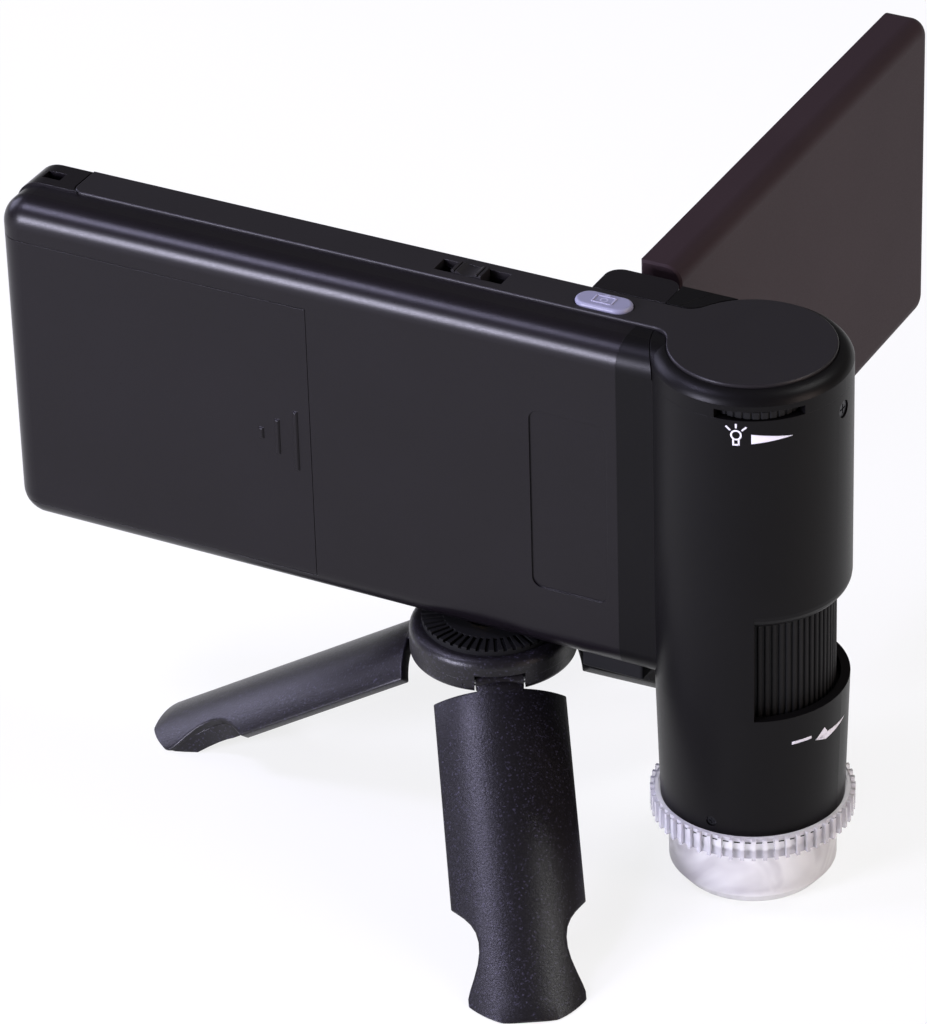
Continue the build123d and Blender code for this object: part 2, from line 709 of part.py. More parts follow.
def dimmer_board():
    """The lamp-control board on the head's upper ledge, with the dimmer's body and its shaft."""
    board = rod(bore_r + board_ledge_step - 0.15, (board_ledge_z, board_ledge_z + board_thick))
    board += rod(4.0, (board_ledge_z + board_thick - 0.1, dimmer_z - 0.3), dimmer_x, dimmer_y)
    board += rod(dimmer_shaft_r, (dimmer_z - 0.5, dimmer_z + dimmer_thick + 0.6), dimmer_x, dimmer_y)
    return board + block((-9, -3), (0, 8), (board_ledge_z + board_thick - 0.1, board_ledge_z + 3.2))


def camera_board():
    board = rod(bore_r - 0.15, (camera_board_z, camera_board_z + board_thick))
    return board + block((-6, 6), (-4, 4), (camera_board_z + board_thick - 0.1, camera_board_z + 3.0))


def image_sensor():
    half = sensor_size / 2
    chip = block((-half, half), (-half, half), (camera_board_z - sensor_thick, camera_board_z))
    return chip - block(grown((-half, half), -1.2), grown((-half, half), -1.6),
                        (camera_board_z - sensor_thick - 1, camera_board_z - sensor_thick + 0.3))


def focus_guide():
    """The fixed inner tube that the focus wheel turns on and the lens carriage slides in."""
    flange_z = (guide_top_z - guide_flange_thick, guide_top_z)
    guide = ring(guide_r, guide_r - guide_wall, (guide_bottom_z, guide_top_z))
    guide += ring(bore_r - 0.1, guide_r - guide_wall, flange_z)
    half_width = drive_pin_r + drive_pin_gap
    slot_length = 2 * (carriage_travel + half_width + seam_gap)
    slot = Pos(guide_r, 0, carriage_pin_z) * Rot(0, 90, 0) * extrude(SlotOverall(slot_length, 2 * half_width), 3,
                                                                     both=True)
    for angle in drive_pin_angles:
        guide -= around(angle, slot)
    return guide


def drive_groove():
    """The left-hand helical groove in the wheel's bore that one drive pin runs in."""
    lead_in = 0.5
    height = 2 * (carriage_travel + lead_in)
    path = Helix(drive_pitch, height, guide_r, lefthand=True)
    depth = drive_groove_depth + 0.5
    profile = Plane(path @ 0, x_dir=(1, 0, 0), z_dir=path % 0) * Pos(drive_groove_depth - depth / 2, 0) * Rectangle(
        depth, 2 * (drive_pin_r + drive_pin_gap))
    groove = sweep(profile, path, is_frenet=True)
    return around(180 * height / drive_pitch, Pos(0, 0, carriage_pin_z - height / 2) * groove)


def carriage_pins():
    """The two steel pins that reach from the carriage through the guide into the wheel's grooves."""
    tip = guide_r + running_gap + drive_groove_depth - 0.15
    pin = rod_x(drive_pin_r, (drive_pin_root, tip), 0, carriage_pin_z)
    return [around(angle, pin) for angle in drive_pin_angles]


def focus_wheel():
    z = (wheel_ledge_z + 0.3, guide_top_z - guide_flange_thick - 0.3)
    wheel = ring(focus_wheel_r - focus_rib_depth, guide_r + running_gap, z)
    rib = Pos(focus_wheel_r - focus_rib_depth, 0, (z[0] + z[1]) / 2) * Box(
        2 * focus_rib_depth, focus_rib_depth * 2.2, z[1] - z[0] - 1.0)
    rib = fillet(rib.edges().filter_by(Axis.Z).group_by(Axis.X)[-1], focus_rib_depth * 0.8)
    for step in range(focus_ribs):
        wheel += around(step * 360 / focus_ribs, rib)
    groove = drive_groove()
    for angle in drive_pin_angles:
        wheel -= around(angle, groove)
    return wheel


def lens_carriage():
    z = (carriage_z, carriage_z + carriage_length)
    tube = rod(carriage_r, z)
    tube -= rod(carriage_r - carriage_wall, (z[0] + 4.5, z[1] - 3.2))
    tube -= rod(front_lens_r + running_gap, (z[0] - 1, z[0] + 4.0))
    tube -= rod(front_lens_r - 1.0, (z[0], z[1]))
    for angle in drive_pin_angles:
        tube -= around(angle, rod_x(drive_pin_r + 0.02, (drive_pin_root - 1, guide_r), 0, carriage_pin_z))
    return tube - rod(rear_lens_r + running_gap, (z[1] - 3.0, z[1] + 1))


def lens(radius, thick, z):
    """A glass element with a straight edge and two bulged faces."""
    ball_r = (radius ** 2 + lens_bulge ** 2) / (2 * lens_bulge)
    half = thick / 2
    element = rod(radius, (z - half, z + half))
    for side in (-1, 1):
        element &= Pos(0, 0, z + side * (half - ball_r)) * Sphere(ball_r)
    return element


def led_board():
    return ring(lower_bore_r - 0.15, led_board_hole_r, (led_board_z, led_board_z + board_thick))


def led_lamps():
    lamp = rod(led_r, (led_board_z - led_length, led_board_z), led_circle_r)
    lamp = fillet(lamp.edges().group_by(Axis.Z)[0], led_r * 0.8)
    return [around(i * 360 / led_count, lamp) for i in range(led_count)]


# ---- nose cap ----------------------------------------------------------------------------------------
def knurled_ring():
    """The clear grip ring: a floor, a lip round the barrel, a spigot inside it and ribs outside."""
    z = (nose_height, nose_height + ring_height)
    floor_z = barrel_bottom_z - seam_gap
    inner_r = spigot_r - nose_wall
    body = spun([(inner_r, z[0]), (ring_root_r, z[0]), (ring_root_r, z[1]), (ring_root_r - ring_lip, z[1]),
                 (ring_root_r - ring_lip, floor_z), (spigot_r, floor_z), (spigot_r, floor_z + spigot_height),
                 (inner_r, floor_z + spigot_height)])
    height = z[1] - z[0]
    rib = Pos(ring_tip_r - 0.6, 0, z[0] + height / 2) * Box(1.2, ring_rib_width, height)
    pitch = 360 / ring_ribs
    for step in range(ring_ribs):
        body += around(step * pitch, rib)
    return body


def clear_cap():
    """The stepped cap over the lamps, open at the bottom over the specimen."""
    return spun([(nose_r - nose_wall, nose_height), (nose_r, nose_height), (nose_r, nose_chamfer),
                 (nose_r - nose_chamfer * 0.8, 0), (nose_rim_r, 0), (nose_rim_r, nose_wall),
                 (nose_r - nose_wall - 1.0, nose_wall), (nose_r - nose_wall, nose_chamfer + 1.0)])


# ---- hinge and lid -----------------------------------------------------------------------------------
def hinge_block(z):
    blk = block(hinge_block_x, (back_y, back_y + hinge_block_back), z)
    blk = fillet(blk.edges().filter_by(Axis.Z).group_by(Axis.Y)[-1], hinge_block_r)
    return blk - rod(hinge_pin_r + 0.02, (0, 200), hinge_x, hinge_y)


def hinge_block_top():
    z = (hinge_top_z - hinge_block_height, hinge_top_z)
    return hinge_block(z) + rod(hinge_pin_r + 1, (z[1] - hinge_cap, z[1]), hinge_x, hinge_y)


def hinge_block_bottom():
    z = (hinge_bottom_z, hinge_bottom_z + hinge_block_height)
    return hinge_block(z) + rod(hinge_pin_r + 1, (z[0], z[0] + hinge_cap), hinge_x, hinge_y)


def knuckle_span():
    return grown((hinge_bottom_z, hinge_top_z), -hinge_block_height - pin_length_gap)


def hinge_knuckle():
    """The turning part between the hinge blocks, with the arm that carries the tilt shaft."""
    z = knuckle_span()
    half = knuckle_arm_height / 2
    knuckle = rod(knuckle_r, z, hinge_x, hinge_y)
    arm = block((hinge_x - knuckle_r, hinge_x + knuckle_r), (hinge_y, hinge_y + knuckle_arm),
                (lid_mid_z - half, lid_mid_z + half))
    knuckle += fillet(arm.edges().filter_by(Axis.Y), knuckle_edge_r)
    knuckle -= rod(hinge_pin_r + running_gap, (0, 200), hinge_x, hinge_y)
    return knuckle - rod_y(tilt_shaft_r, (hinge_y + hinge_pin_r + 1.2, 50), hinge_x, lid_mid_z)


def hinge_pin():
    return rod(hinge_pin_r, grown((hinge_bottom_z, hinge_top_z), -hinge_cap - 0.1), hinge_x, hinge_y)


def tilt_shaft():
    head_y = lid_near_y + lid_wall + bracket_length + 0.15
    shaft = rod_y(tilt_shaft_r, (hinge_y + hinge_pin_r + 1.3, head_y + 0.05), hinge_x, lid_mid_z)
    return shaft + rod_y(tilt_head_r, (head_y, head_y + tilt_head_thick), hinge_x, lid_mid_z)


def tilt_bracket():
    """The metal bearing inside the lid that turns on the tilt shaft."""
    half = bracket_height / 2
    wide = lid_thick / 2 - lid_wall - 0.05
    plate = block((hinge_x - wide, hinge_x + wide), (lid_near_y + lid_wall, lid_near_y + lid_wall + bracket_length),
                  (lid_mid_z - half, lid_mid_z + half))
    return plate - rod_y(tilt_shaft_r + running_gap, (0, 60), hinge_x, lid_mid_z)


def lid_slab(inset, x):
    """A slab of the lid's outline with its two far corners rounded."""
    slab = block(x, (lid_near_y + inset, lid_far_y - inset), (lid_bottom_z + inset, lid_top_z - inset))
    return fillet(slab.edges().filter_by(Axis.X).group_by(Axis.Y)[-1], lid_far_corner_r - inset)


def lid_form(inset):
    """The lid's outer form, or its hollow: rounded along the far side's three long edges."""
    form = lid_slab(inset, (lid_inner_x + inset, lid_outer_x - inset))
    near_y = lid_near_y + inset
    rounded = [e for e in form.faces().sort_by(Axis.X)[-1].edges() if e.center().Y > near_y + 0.1]
    return fillet(rounded, lid_outer_edge_r - inset)


def lid_back():
    """The lid's main moulding, open towards the screen, with a rim that the bezel drops into."""
    shell = lid_form(0)
    shell = chamfer(shell.faces().sort_by(Axis.Y)[0].edges(), lid_near_chamfer)
    shell -= lid_form(lid_wall)
    shell -= lid_slab(lid_rim, (lid_inner_x - 1, lid_inner_x + lid_wall))
    for y, z in lid_screw_places():
        boss = rod_x(lid_boss_r, (lid_inner_x + lid_wall, lid_outer_x - lid_wall + 0.1), y, z)
        shell += boss - rod_x(0.9, (lid_inner_x, lid_inner_x + 4.0), y, z)
    return shell - rod_y(tilt_shaft_r + 0.3, (lid_near_y - 1, lid_near_y + lid_wall + 1), hinge_x, lid_mid_z)


def screen_window(extra):
    half_y, half_z = screen_length / 2 + extra, screen_height / 2 + extra
    return block((lid_inner_x - 1, lid_inner_x + 3), (screen_mid_y - half_y, screen_mid_y + half_y),
                 (lid_mid_z - half_z, lid_mid_z + half_z))


def lid_bezel():
    """The flat frame round the screen, set into the rim of the lid's back."""
    bezel = lid_slab(lid_rim + seam_gap, (lid_inner_x, lid_inner_x + lid_wall)) - screen_window(0)
    rim = [e for e in bezel.faces().sort_by(Axis.X)[0].edges()
           if abs(e.center().Y - screen_mid_y) < screen_length / 2 + 0.1
           and abs(e.center().Z - lid_mid_z) < screen_height / 2 + 0.1]
    bezel = chamfer(rim, 0.5)
    for y, z in lid_screw_places():
        bezel -= rod_x(1.7, (lid_inner_x - 1, lid_inner_x + 0.8), y, z)
        bezel -= rod_x(0.9, (lid_inner_x - 1, lid_inner_x + 3), y, z)
    return bezel


def lid_screw_places():
    y = lid_near_y + lid_wall + lid_screw_end
    return [(y, lid_bottom_z + lid_screw_inset), (y, lid_top_z - lid_screw_inset)]


def lid_screws():
    screws = []
    for y, z in lid_screw_places():
        head = rod_x(1.6, (lid_inner_x + 0.05, lid_inner_x + 0.75), y, z)
        shank = rod_x(0.8, (lid_inner_x + 0.7, lid_inner_x + 3.2), y, z)
        cross = Pos(lid_inner_x, y, z) * (Box(0.8, 2.0, 0.35) + Box(0.8, 0.35, 2.0))
        screws.append(head + shank - cross)
    return screws


def screen_layer(depth, thick, margin):
    """A flat sheet behind the bezel, as large as the screen and a margin round it."""
    x0 = lid_inner_x + depth
    half_y, half_z = screen_length / 2 + margin, screen_height / 2 + margin
    return block((x0, x0 + thick), (screen_mid_y - half_y, screen_mid_y + half_y),
                 (lid_mid_z - half_z, lid_mid_z + half_z))


def screen_glass():
    return screen_layer(lid_wall, glass_thick, glass_margin)


def lcd_panel():
    return screen_layer(lid_wall + glass_thick, panel_thick, panel_margin)


def lid_board():
    depth = lid_wall + glass_thick + panel_thick
    board = screen_layer(depth, lid_board_thick, -lid_board_side_margin)
    end = lid_board_end_margin - lid_board_side_margin
    return board & block((-100, 0), grown((screen_mid_y - screen_length / 2, screen_mid_y + screen_length / 2),
                                          -lid_board_side_margin - end), (0, 200))


# ---- tripod ------------------------------------------------------------------------------------------
def hub_notches():
    """The three slots in the hub's rim that hold the legs' hinge barrels, centred on the hub's axis."""
    half = leg_barrel_width / 2 + pin_length_gap
    top_z = leg_pin_z + leg_barrel_r + pin_length_gap
    notch = block((leg_pin_out - leg_barrel_r - pin_length_gap, 30), (-half, half), (0, top_z))
    cuts = [around(angle, notch) for angle in leg_angles]
    return cuts[0] + cuts[1] + cuts[2]


def pin_bores():
    bore = Pos(leg_pin_out, 0, leg_pin_z) * Rot(90, 0, 0) * Cylinder(leg_pin_r + 0.02, leg_barrel_width + 5)
    cuts = [around(angle, bore) for angle in leg_angles]
    return cuts[0] + cuts[1] + cuts[2]


def at_hub(shape):
    return Pos(hub_x, mid_y, 0) * shape


def tripod_hub_lower():
    hub = rod(hub_r, (hub_bottom_z, hub_seam_z))
    hub = fillet(hub.edges().group_by(Axis.Z)[0], 1.0)
    return at_hub(hub - hub_notches() - pin_bores() - rod(stud_r + 2.6, (0, 200)))


def tripod_hub_upper():
    hub = rod(hub_r, (hub_seam_z, hub_shoulder_z))
    hub = fillet(hub.edges().group_by(Axis.Z)[-1], hub_shoulder_r)
    return at_hub(hub - hub_notches() - pin_bores() - rod(stud_r, (0, 200)))


def tripod_pad():
    """The ribbed rubber face that presses on the body."""
    z = (hub_shoulder_z, body_bottom_z - 0.02)
    pad = rod(pad_r, z) - rod(socket_r + 0.6, (0, 200))
    groove = Pos(pad_r, 0, z[1]) * Box(2 * pad_rib_reach, 0.7, 1.0)
    for step in range(pad_ribs):
        pad -= around(step * 360 / pad_ribs, groove)
    return at_hub(pad)


def tripod_screw():
    """The quarter-inch stud with its hexagon head sunk in the hub's underside."""
    head = Pos(0, 0, hub_bottom_z + 0.4) * extrude(RegularPolygon(stud_r + 2.0, 6), hub_seam_z - hub_bottom_z - 0.4)
    return at_hub(head + rod(stud_r, (hub_seam_z - 0.2, body_bottom_z + stud_reach)))


def tripod_socket():
    """The brass insert in the body's floor that takes the tripod's stud."""
    z = (body_bottom_z + 0.02, body_bottom_z + socket_length)
    return at_hub(rod(socket_r - 0.02, z) - rod(stud_r + running_gap, (0, 200)))


def leg_arc(outer, inner, z):
    """A strip of the leg's curved section, between two radii about the section's own centre."""
    return Pos(leg_centre, 0, 0) * (ring(outer, inner, z) & wedge(leg_half_angle, 0, z))


def leg_outline():
    """The leg seen from outside: straight to its shoulders, then waisted and flared to the foot."""
    top_z, shoulder_z, waist_z, flare_z, tip_z = [
        leg_pin_z - s for s in (leg_top_gap, leg_shoulder, leg_waist, leg_flare, leg_length)]
    half = leg_half_width
    right = (Line((half, top_z), (half, shoulder_z))
             + Spline((half, shoulder_z), (half - 2.3, shoulder_z - 2.9), (leg_waist_half, waist_z),
                      (leg_flare_half, flare_z), tangents=((-1, -0.9), (0.8, -1)))
             + Line((leg_flare_half, flare_z), (leg_flare_half, tip_z)))
    return make_face(right + Line((leg_flare_half, tip_z), (-leg_flare_half, tip_z))
                     + mirror(right, Plane.YZ) + Line((-half, top_z), (half, top_z)))


def tripod_leg(angle):
    """One leg, shaped folded straight down and then swung out to its stop."""
    top_z = leg_pin_z - leg_top_gap
    shell = leg_arc(leg_r, leg_r - leg_wall, (leg_pin_z - leg_length - 1, top_z + 1))
    shell &= Rot(0, 0, 90) * extrude(Plane.XZ * leg_outline(), 40, both=True)
    barrel = Pos(leg_pin_out, 0, leg_pin_z) * Rot(90, 0, 0) * Cylinder(leg_barrel_r, leg_barrel_width)
    neck = block((leg_pin_out - leg_barrel_r + 0.2, leg_crown - 0.1), (-leg_barrel_width / 2, leg_barrel_width / 2),
                 (top_z - 2.0, leg_pin_z))
    neck &= Pos(leg_centre, 0, 0) * ring(leg_r, leg_r - leg_wall - 1.0, (0, 100))
    leg = shell + barrel + neck + foot_plate()
    leg -= Pos(leg_pin_out, 0, leg_pin_z) * Rot(90, 0, 0) * Cylinder(leg_pin_r + running_gap, 30)
    swing = Pos(leg_pin_out, 0, leg_pin_z) * Rot(0, -leg_spread, 0) * Pos(-leg_pin_out, 0, -leg_pin_z)
    leg = around(angle, swing * leg)
    return at_hub(leg) - block((-through, through), (-through, through), (-50, 0))


def foot_plate():
    """The flat plate that closes a leg's channel towards the foot, with the leg folded."""
    z = (leg_pin_z - leg_length, leg_pin_z - foot_plate_top)
    plate = block(foot_plate_r, (-foot_plate_half, foot_plate_half), z)
    return plate & (Pos(leg_centre, 0, 0) * rod(leg_r - leg_wall / 2, z))


def leg_pins():
    pin = Pos(leg_pin_out, 0, leg_pin_z) * Rot(90, 0, 0) * Cylinder(leg_pin_r, leg_barrel_width + 4)
    return [at_hub(around(angle, pin)) for angle in leg_angles]


# ---- assembly ----------------------------------------------------------------------------------------
def build():
    """Every piece by its name, before the model is moved to its origin."""
    rear_half, front_half = shell_halves()
    pieces = {
        "rear_shell": rear_shell(rear_half),
        "front_shell": front_shell(front_half),
        "battery_cover": battery_cover(),
        "battery": battery(),
        "battery_contacts": battery_contacts(),
        "main_board": main_board(),
        "board_screws": board_screws(),
        "switch_board": switch_board(),
        "top_plate": top_plate(),
        "power_switch_knob": power_switch_knob(),
        "snapshot_button": snapshot_button(),
        "port_cover": port_cover(),
        "charging_socket": charging_socket(),
        "head_housing": head_housing(),
        "head_cap": head_cap(),
        "head_screws": head_screws(),
        "brightness_wheel": brightness_wheel(),
        "dimmer_board": dimmer_board(),
        "camera_board": camera_board(),
        "image_sensor": image_sensor(),
        "focus_guide": focus_guide(),
        "focus_wheel": focus_wheel(),
        "lens_carriage": lens_carriage(),
        "carriage_pins": carriage_pins(),
        "front_lens": lens(front_lens_r, front_lens_thick, carriage_z + 4.0 - front_lens_thick / 2 - 0.1),
        "rear_lens": lens(rear_lens_r, rear_lens_thick,
                          carriage_z + carriage_length - 3.0 + rear_lens_thick / 2 + 0.1),
        "led_board": led_board(),
        "led_lamps": led_lamps(),
        "knurled_ring": knurled_ring(),
        "clear_cap": clear_cap(),
        "hinge_block_top": hinge_block_top(),
        "hinge_block_bottom": hinge_block_bottom(),
        "hinge_pin": hinge_pin(),
        "hinge_knuckle": hinge_knuckle(),
        "tilt_shaft": tilt_shaft(),
        "tilt_bracket": tilt_bracket(),
        "lid_back": lid_back(),
        "lid_bezel": lid_bezel(),
        "lid_screws": lid_screws(),
        "screen_glass": screen_glass(),
        "lcd_panel": lcd_panel(),
        "lid_board": lid_board(),
        "tripod_socket": tripod_socket(),
        "tripod_hub_upper": tripod_hub_upper(),
        "tripod_hub_lower": tripod_hub_lower(),
        "tripod_pad": tripod_pad(),
        "tripod_screw": tripod_screw(),
        "leg_pins": leg_pins(),
    }
    for name, (x, z) in key_places().items():
        pieces[name] = menu_key(x, z)
    for number, angle in enumerate(leg_angles, 1):
        pieces[f"tripod_leg_{number}"] = tripod_leg(angle)
    return pieces


def solids_of(piece):
    """All solids of a piece, which may be one shape or a list of shapes."""
    shapes = piece if isinstance(piece, list) else [piece]
    return [solid for shape in shapes for solid in shape.solids()]


def footprint_origin(pieces):
    """The point on the work surface under the middle of the whole object."""
    box = Compound(children=[s for piece in pieces.values() for s in solids_of(piece)]).bounding_box()
    return Vector((box.min.X + box.max.X) / 2, (box.min.Y + box.max.Y) / 2, box.min.Z)


pieces = build()
origin = footprint_origin(pieces)
os.makedirs("parts", exist_ok=True)
for name, piece in pieces.items():
    moved = [Pos(-origin.X, -origin.Y, -origin.Z) * solid for solid in solids_of(piece)]
    export_step(moved[0] if len(moved) == 1 else Compound(children=moved), f"parts/{name}.step")
print("origin", round(origin.X, 4), round(origin.Y, 4), round(origin.Z, 4), "nodes", len(pieces))
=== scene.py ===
# %% [markdown]
# # Dressing a handheld digital microscope
# The solid model gives every piece at its real size and place. This lesson adds what a solid
# cannot carry: the finish of each material, the printed marks on the head and the button, and the soft
# edges that moulded plastic shows. It also models the tripod's legs again, with their deep waists. It
# starts by loading the frame.

import json
import math

import bpy
from mathutils import Matrix, Vector


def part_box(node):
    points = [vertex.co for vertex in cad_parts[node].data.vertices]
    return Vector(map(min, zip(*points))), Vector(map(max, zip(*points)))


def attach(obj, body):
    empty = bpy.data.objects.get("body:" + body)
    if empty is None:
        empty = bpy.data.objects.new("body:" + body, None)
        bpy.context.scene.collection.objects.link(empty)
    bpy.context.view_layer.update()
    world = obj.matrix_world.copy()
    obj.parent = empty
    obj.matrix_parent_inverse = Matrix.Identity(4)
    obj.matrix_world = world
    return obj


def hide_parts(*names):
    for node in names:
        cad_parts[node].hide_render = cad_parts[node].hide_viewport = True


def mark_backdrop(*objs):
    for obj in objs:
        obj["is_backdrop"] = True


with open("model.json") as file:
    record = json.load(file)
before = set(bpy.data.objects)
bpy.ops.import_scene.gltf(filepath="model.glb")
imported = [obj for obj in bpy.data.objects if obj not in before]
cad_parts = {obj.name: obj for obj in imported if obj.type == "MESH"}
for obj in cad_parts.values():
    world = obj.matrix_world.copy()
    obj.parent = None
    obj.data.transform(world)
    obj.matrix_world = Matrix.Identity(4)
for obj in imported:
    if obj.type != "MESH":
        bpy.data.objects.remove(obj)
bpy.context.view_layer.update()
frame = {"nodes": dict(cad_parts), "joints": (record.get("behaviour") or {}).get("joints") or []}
nodes = frame["nodes"]

# %% [markdown]
# ## The camera
# A long lens far from the object flattens it, as a product picture does. The view comes from in front
# and to the right of the head, about a third of the way up. The camera's own axes are built from its
# two angles and a slight roll, because a matrix states all three at once with no guessing about the
# order of rotations. It stands at a set distance from the foot of the optical axis, which is the middle
# of the clear cap. A small shift slides the frame over the object without turning the camera.

# %% The camera
MM = 0.001                                   # one millimetre in the scene's metres
view_azimuth, view_elevation, view_roll = (math.radians(a) for a in (28.39, 31.76, -1.71))
foot_to_camera_mm = (380.71, -808.76, 628.28)
focal_length_mm, lens_shift = 206.6, (-0.0111, 0.0070)
near_m, far_m = 0.05, 20                     # nothing nearer or farther than this is drawn
cap_low, cap_high = (Vector(corner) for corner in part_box("clear_cap"))
axis_foot = Vector(((cap_low.x + cap_high.x) / 2, (cap_low.y + cap_high.y) / 2, 0))
camera_place = axis_foot + Vector(foot_to_camera_mm) * MM

back = Vector((math.sin(view_azimuth) * math.cos(view_elevation),
               -math.cos(view_azimuth) * math.cos(view_elevation), math.sin(view_elevation)))
level_right = Vector((math.cos(view_azimuth), math.sin(view_azimuth), 0))
level_up = back.cross(level_right)
right = level_right * math.cos(view_roll) + level_up * math.sin(view_roll)
up = level_up * math.cos(view_roll) - level_right * math.sin(view_roll)

lens = bpy.data.cameras.new("camera")
lens.lens = focal_length_mm
lens.shift_x, lens.shift_y = lens_shift
lens.clip_start, lens.clip_end = near_m, far_m
camera = bpy.data.objects.new("camera", lens)
camera.matrix_world = Matrix.Translation(camera_place) @ Matrix((right, up, back)).transposed().to_4x4()
bpy.context.scene.collection.objects.link(camera)
bpy.context.scene.camera = camera
print("camera", [round(c, 3) for c in camera_place], "optical axis", [round(c, 4) for c in axis_foot])

# %% [markdown]
# ## Helpers for finishes
# A finish is a small tree of nodes. Colours are written as the hex values that a designer would pick
# on a screen, and one function turns them to the linear values that the renderer adds up. One more
# function adds a node with its settings and its links, so that each material below reads as a list.

# %% Helpers for finishes
def linear(hex_colour):
    """The linear colour, with alpha, of an sRGB hex value such as '#3a3a3c'."""
    parts = [int(hex_colour[i:i + 2], 16) / 255 for i in (1, 3, 5)]
    return [p / 12.92 if p <= 0.04045 else ((p + 0.055) / 1.055) ** 2.4 for p in parts] + [1.0]


def add(material, kind, settings=None, links=None, **properties):
    """A node in a material: its properties, the values of its inputs, and the outputs linked to them."""
    node = material.node_tree.nodes.new(kind)
    for name, value in properties.items():
        setattr(node, name, value)
    for name, value in (settings or {}).items():
        node.inputs[name].default_value = value
    for name, output in (links or {}).items():
        material.node_tree.links.new(output, node.inputs[name])
    return node


def finish(name):
    """An empty material and the output of its object coordinates, in metres."""
    material = bpy.data.materials.new(name)
    material.use_nodes = True
    material.node_tree.nodes.clear()
    return material, add(material, "ShaderNodeTexCoord").outputs["Object"]


def close(material, surface):
    """Gives the material its surface."""
    add(material, "ShaderNodeOutputMaterial", links={"Surface": surface})
    return material


def per_mm(size_mm):
    """The scale of a noise pattern whose features are about this many millimetres apart."""
    return 1000 / size_mm


print("a middle grey, #808080, is", round(linear("#808080")[0], 3), "of white in linear light")

# %% [markdown]
# ## Moulded and painted plastics
# The shells of such a device are injection-moulded ABS. The tool that moulds them is spark-eroded, so
# the skin is a fine even grain instead of a mirror, and a thin satin paint with a little metal in it
# gives the lavender edge that the light draws along the rounded corners. One function makes the whole
# family: the grain's size, the depth of its bump and the colour differ from piece to piece. Two noises
# at two scales keep the colour and the gloss from being the same everywhere, as handling does. The
# grain is drawn somewhat coarser than the real one, which would be finer than a pixel at this distance.
# A Bevel node softens the light at every edge, as the real edges' small radius does. The legs' coarse
# grain also sparkles, and only there some facets are painted lighter, as painted glints.

# %% Moulded and painted plastics
patch_mm = 22
# the size of the cells of painted glint on the legs
glint_mm = 0.28        # coarser than the real grain's facets, so that a few of them show at this distance


def moulded_plastic(name, colour, patch_colour, roughness, grain_mm, grain_depth_mm, gloss=0.3,
                    edge_mm=0.15, painted_glint=0.0):
    """A grained plastic. The painted glint is how much of a painted highlight's colour the brightest facets
    take.
    """
    material, place = finish(name)
    grain = add(material, "ShaderNodeTexNoise", {"Scale": per_mm(grain_mm), "Detail": 3.0, "Roughness": 0.6},
                {"Vector": place})
    patches = add(material, "ShaderNodeTexNoise", {"Scale": per_mm(patch_mm), "Detail": 2.0},
                  {"Vector": place})
    tint = add(material, "ShaderNodeMix", {"A": linear(colour), "B": linear(patch_colour)},
               {"Factor": patches.outputs["Fac"]}, data_type="RGBA")
    spread = add(material, "ShaderNodeMapRange",
                 {"From Min": 0.3, "From Max": 0.7, "To Min": roughness - 0.04, "To Max": roughness + 0.05},
                 {"Value": grain.outputs["Fac"]})
    soft_edge = add(material, "ShaderNodeBevel", {"Radius": edge_mm * MM}, samples=4)
    bump = add(material, "ShaderNodeBump", {"Strength": 1.0, "Distance": grain_depth_mm * MM},
               {"Height": grain.outputs["Fac"], "Normal": soft_edge.outputs["Normal"]})
    colour_out = tint.outputs["Result"]
    if painted_glint:
        # painted glints: the brightest cells of a coarse pattern are painted a lighter lavender
        glint_cells = add(material, "ShaderNodeTexVoronoi", {"Scale": per_mm(glint_mm)}, {"Vector": place})
        bright = add(material, "ShaderNodeMapRange", {"From Min": 0.75, "From Max": 0.98, "To Max": painted_glint},
                     {"Value": glint_cells.outputs["Color"]})
        glinted = add(material, "ShaderNodeMix", {"B": linear("#77738f")},
                       {"Factor": bright.outputs["Result"], "A": colour_out}, data_type="RGBA")
        colour_out = glinted.outputs["Result"]
    skin = add(material, "ShaderNodeBsdfPrincipled", {"IOR": 1.5, "Specular IOR Level": gloss},
               {"Base Color": colour_out, "Roughness": spread.outputs["Result"],
                "Normal": bump.outputs["Normal"]})
    return close(material, skin.outputs["BSDF"])


print("one recipe for all moulded plastics, with patches", patch_mm, "mm wide")

# %% [markdown]
# ## The plastics of this device
# Each line gives a colour and the colour of its patches, then the roughness, the grain's size and the
# depth of its bump in millimetres. The comment over it says what the real surface gives the eye.

# %% The plastics of this device
# satin paint over a fine grain: a narrow lavender light along each rounded edge
body_abs = moulded_plastic("satin_painted_abs", "#0d0a0d", "#110e12", 0.31, 0.28, 0.004, gloss=0.21)
# bare black ABS, duller than the paint: the head stays darker than the body
head_abs = moulded_plastic("matt_black_abs", "#080708", "#0c0b0c", 0.38, 0.22, 0.005, gloss=0.11)
# an inlaid strip with an even sheen, a little lighter than the casing
plate_abs = moulded_plastic("black_inlay_abs", "#1b191b", "#201e20", 0.36, 0.25, 0.004, gloss=0.22)
# brown, with almost no reflection, so that the set colour shows
lid_abs = moulded_plastic("brown_satin_lid_abs", "#2c2225", "#31272a", 0.50, 0.26, 0.004, gloss=0.07)
# a smoother black, so that the screen's frame mirrors a little
bezel_abs = moulded_plastic("black_bezel_abs", "#151517", "#19191b", 0.30, 0.30, 0.003, gloss=0.35)
# silver paint that leans to lavender, bright against the black strip
button_abs = moulded_plastic("silver_painted_abs", "#7c7c90", "#838397", 0.36, 0.20, 0.003, gloss=0.40)
# coarse spark-eroded grain: a broken sheen, with painted glints as small sparkles
leg_abs = moulded_plastic("coarse_grain_abs", "#0d0b0d", "#121014", 0.36, 0.42, 0.045, gloss=0.34,
                          painted_glint=0.17)
# unpainted black inside, which swallows the light of the lamps
inner_abs = moulded_plastic("black_inner_abs", "#0e0e10", "#121214", 0.55, 0.30, 0.005, gloss=0.2)
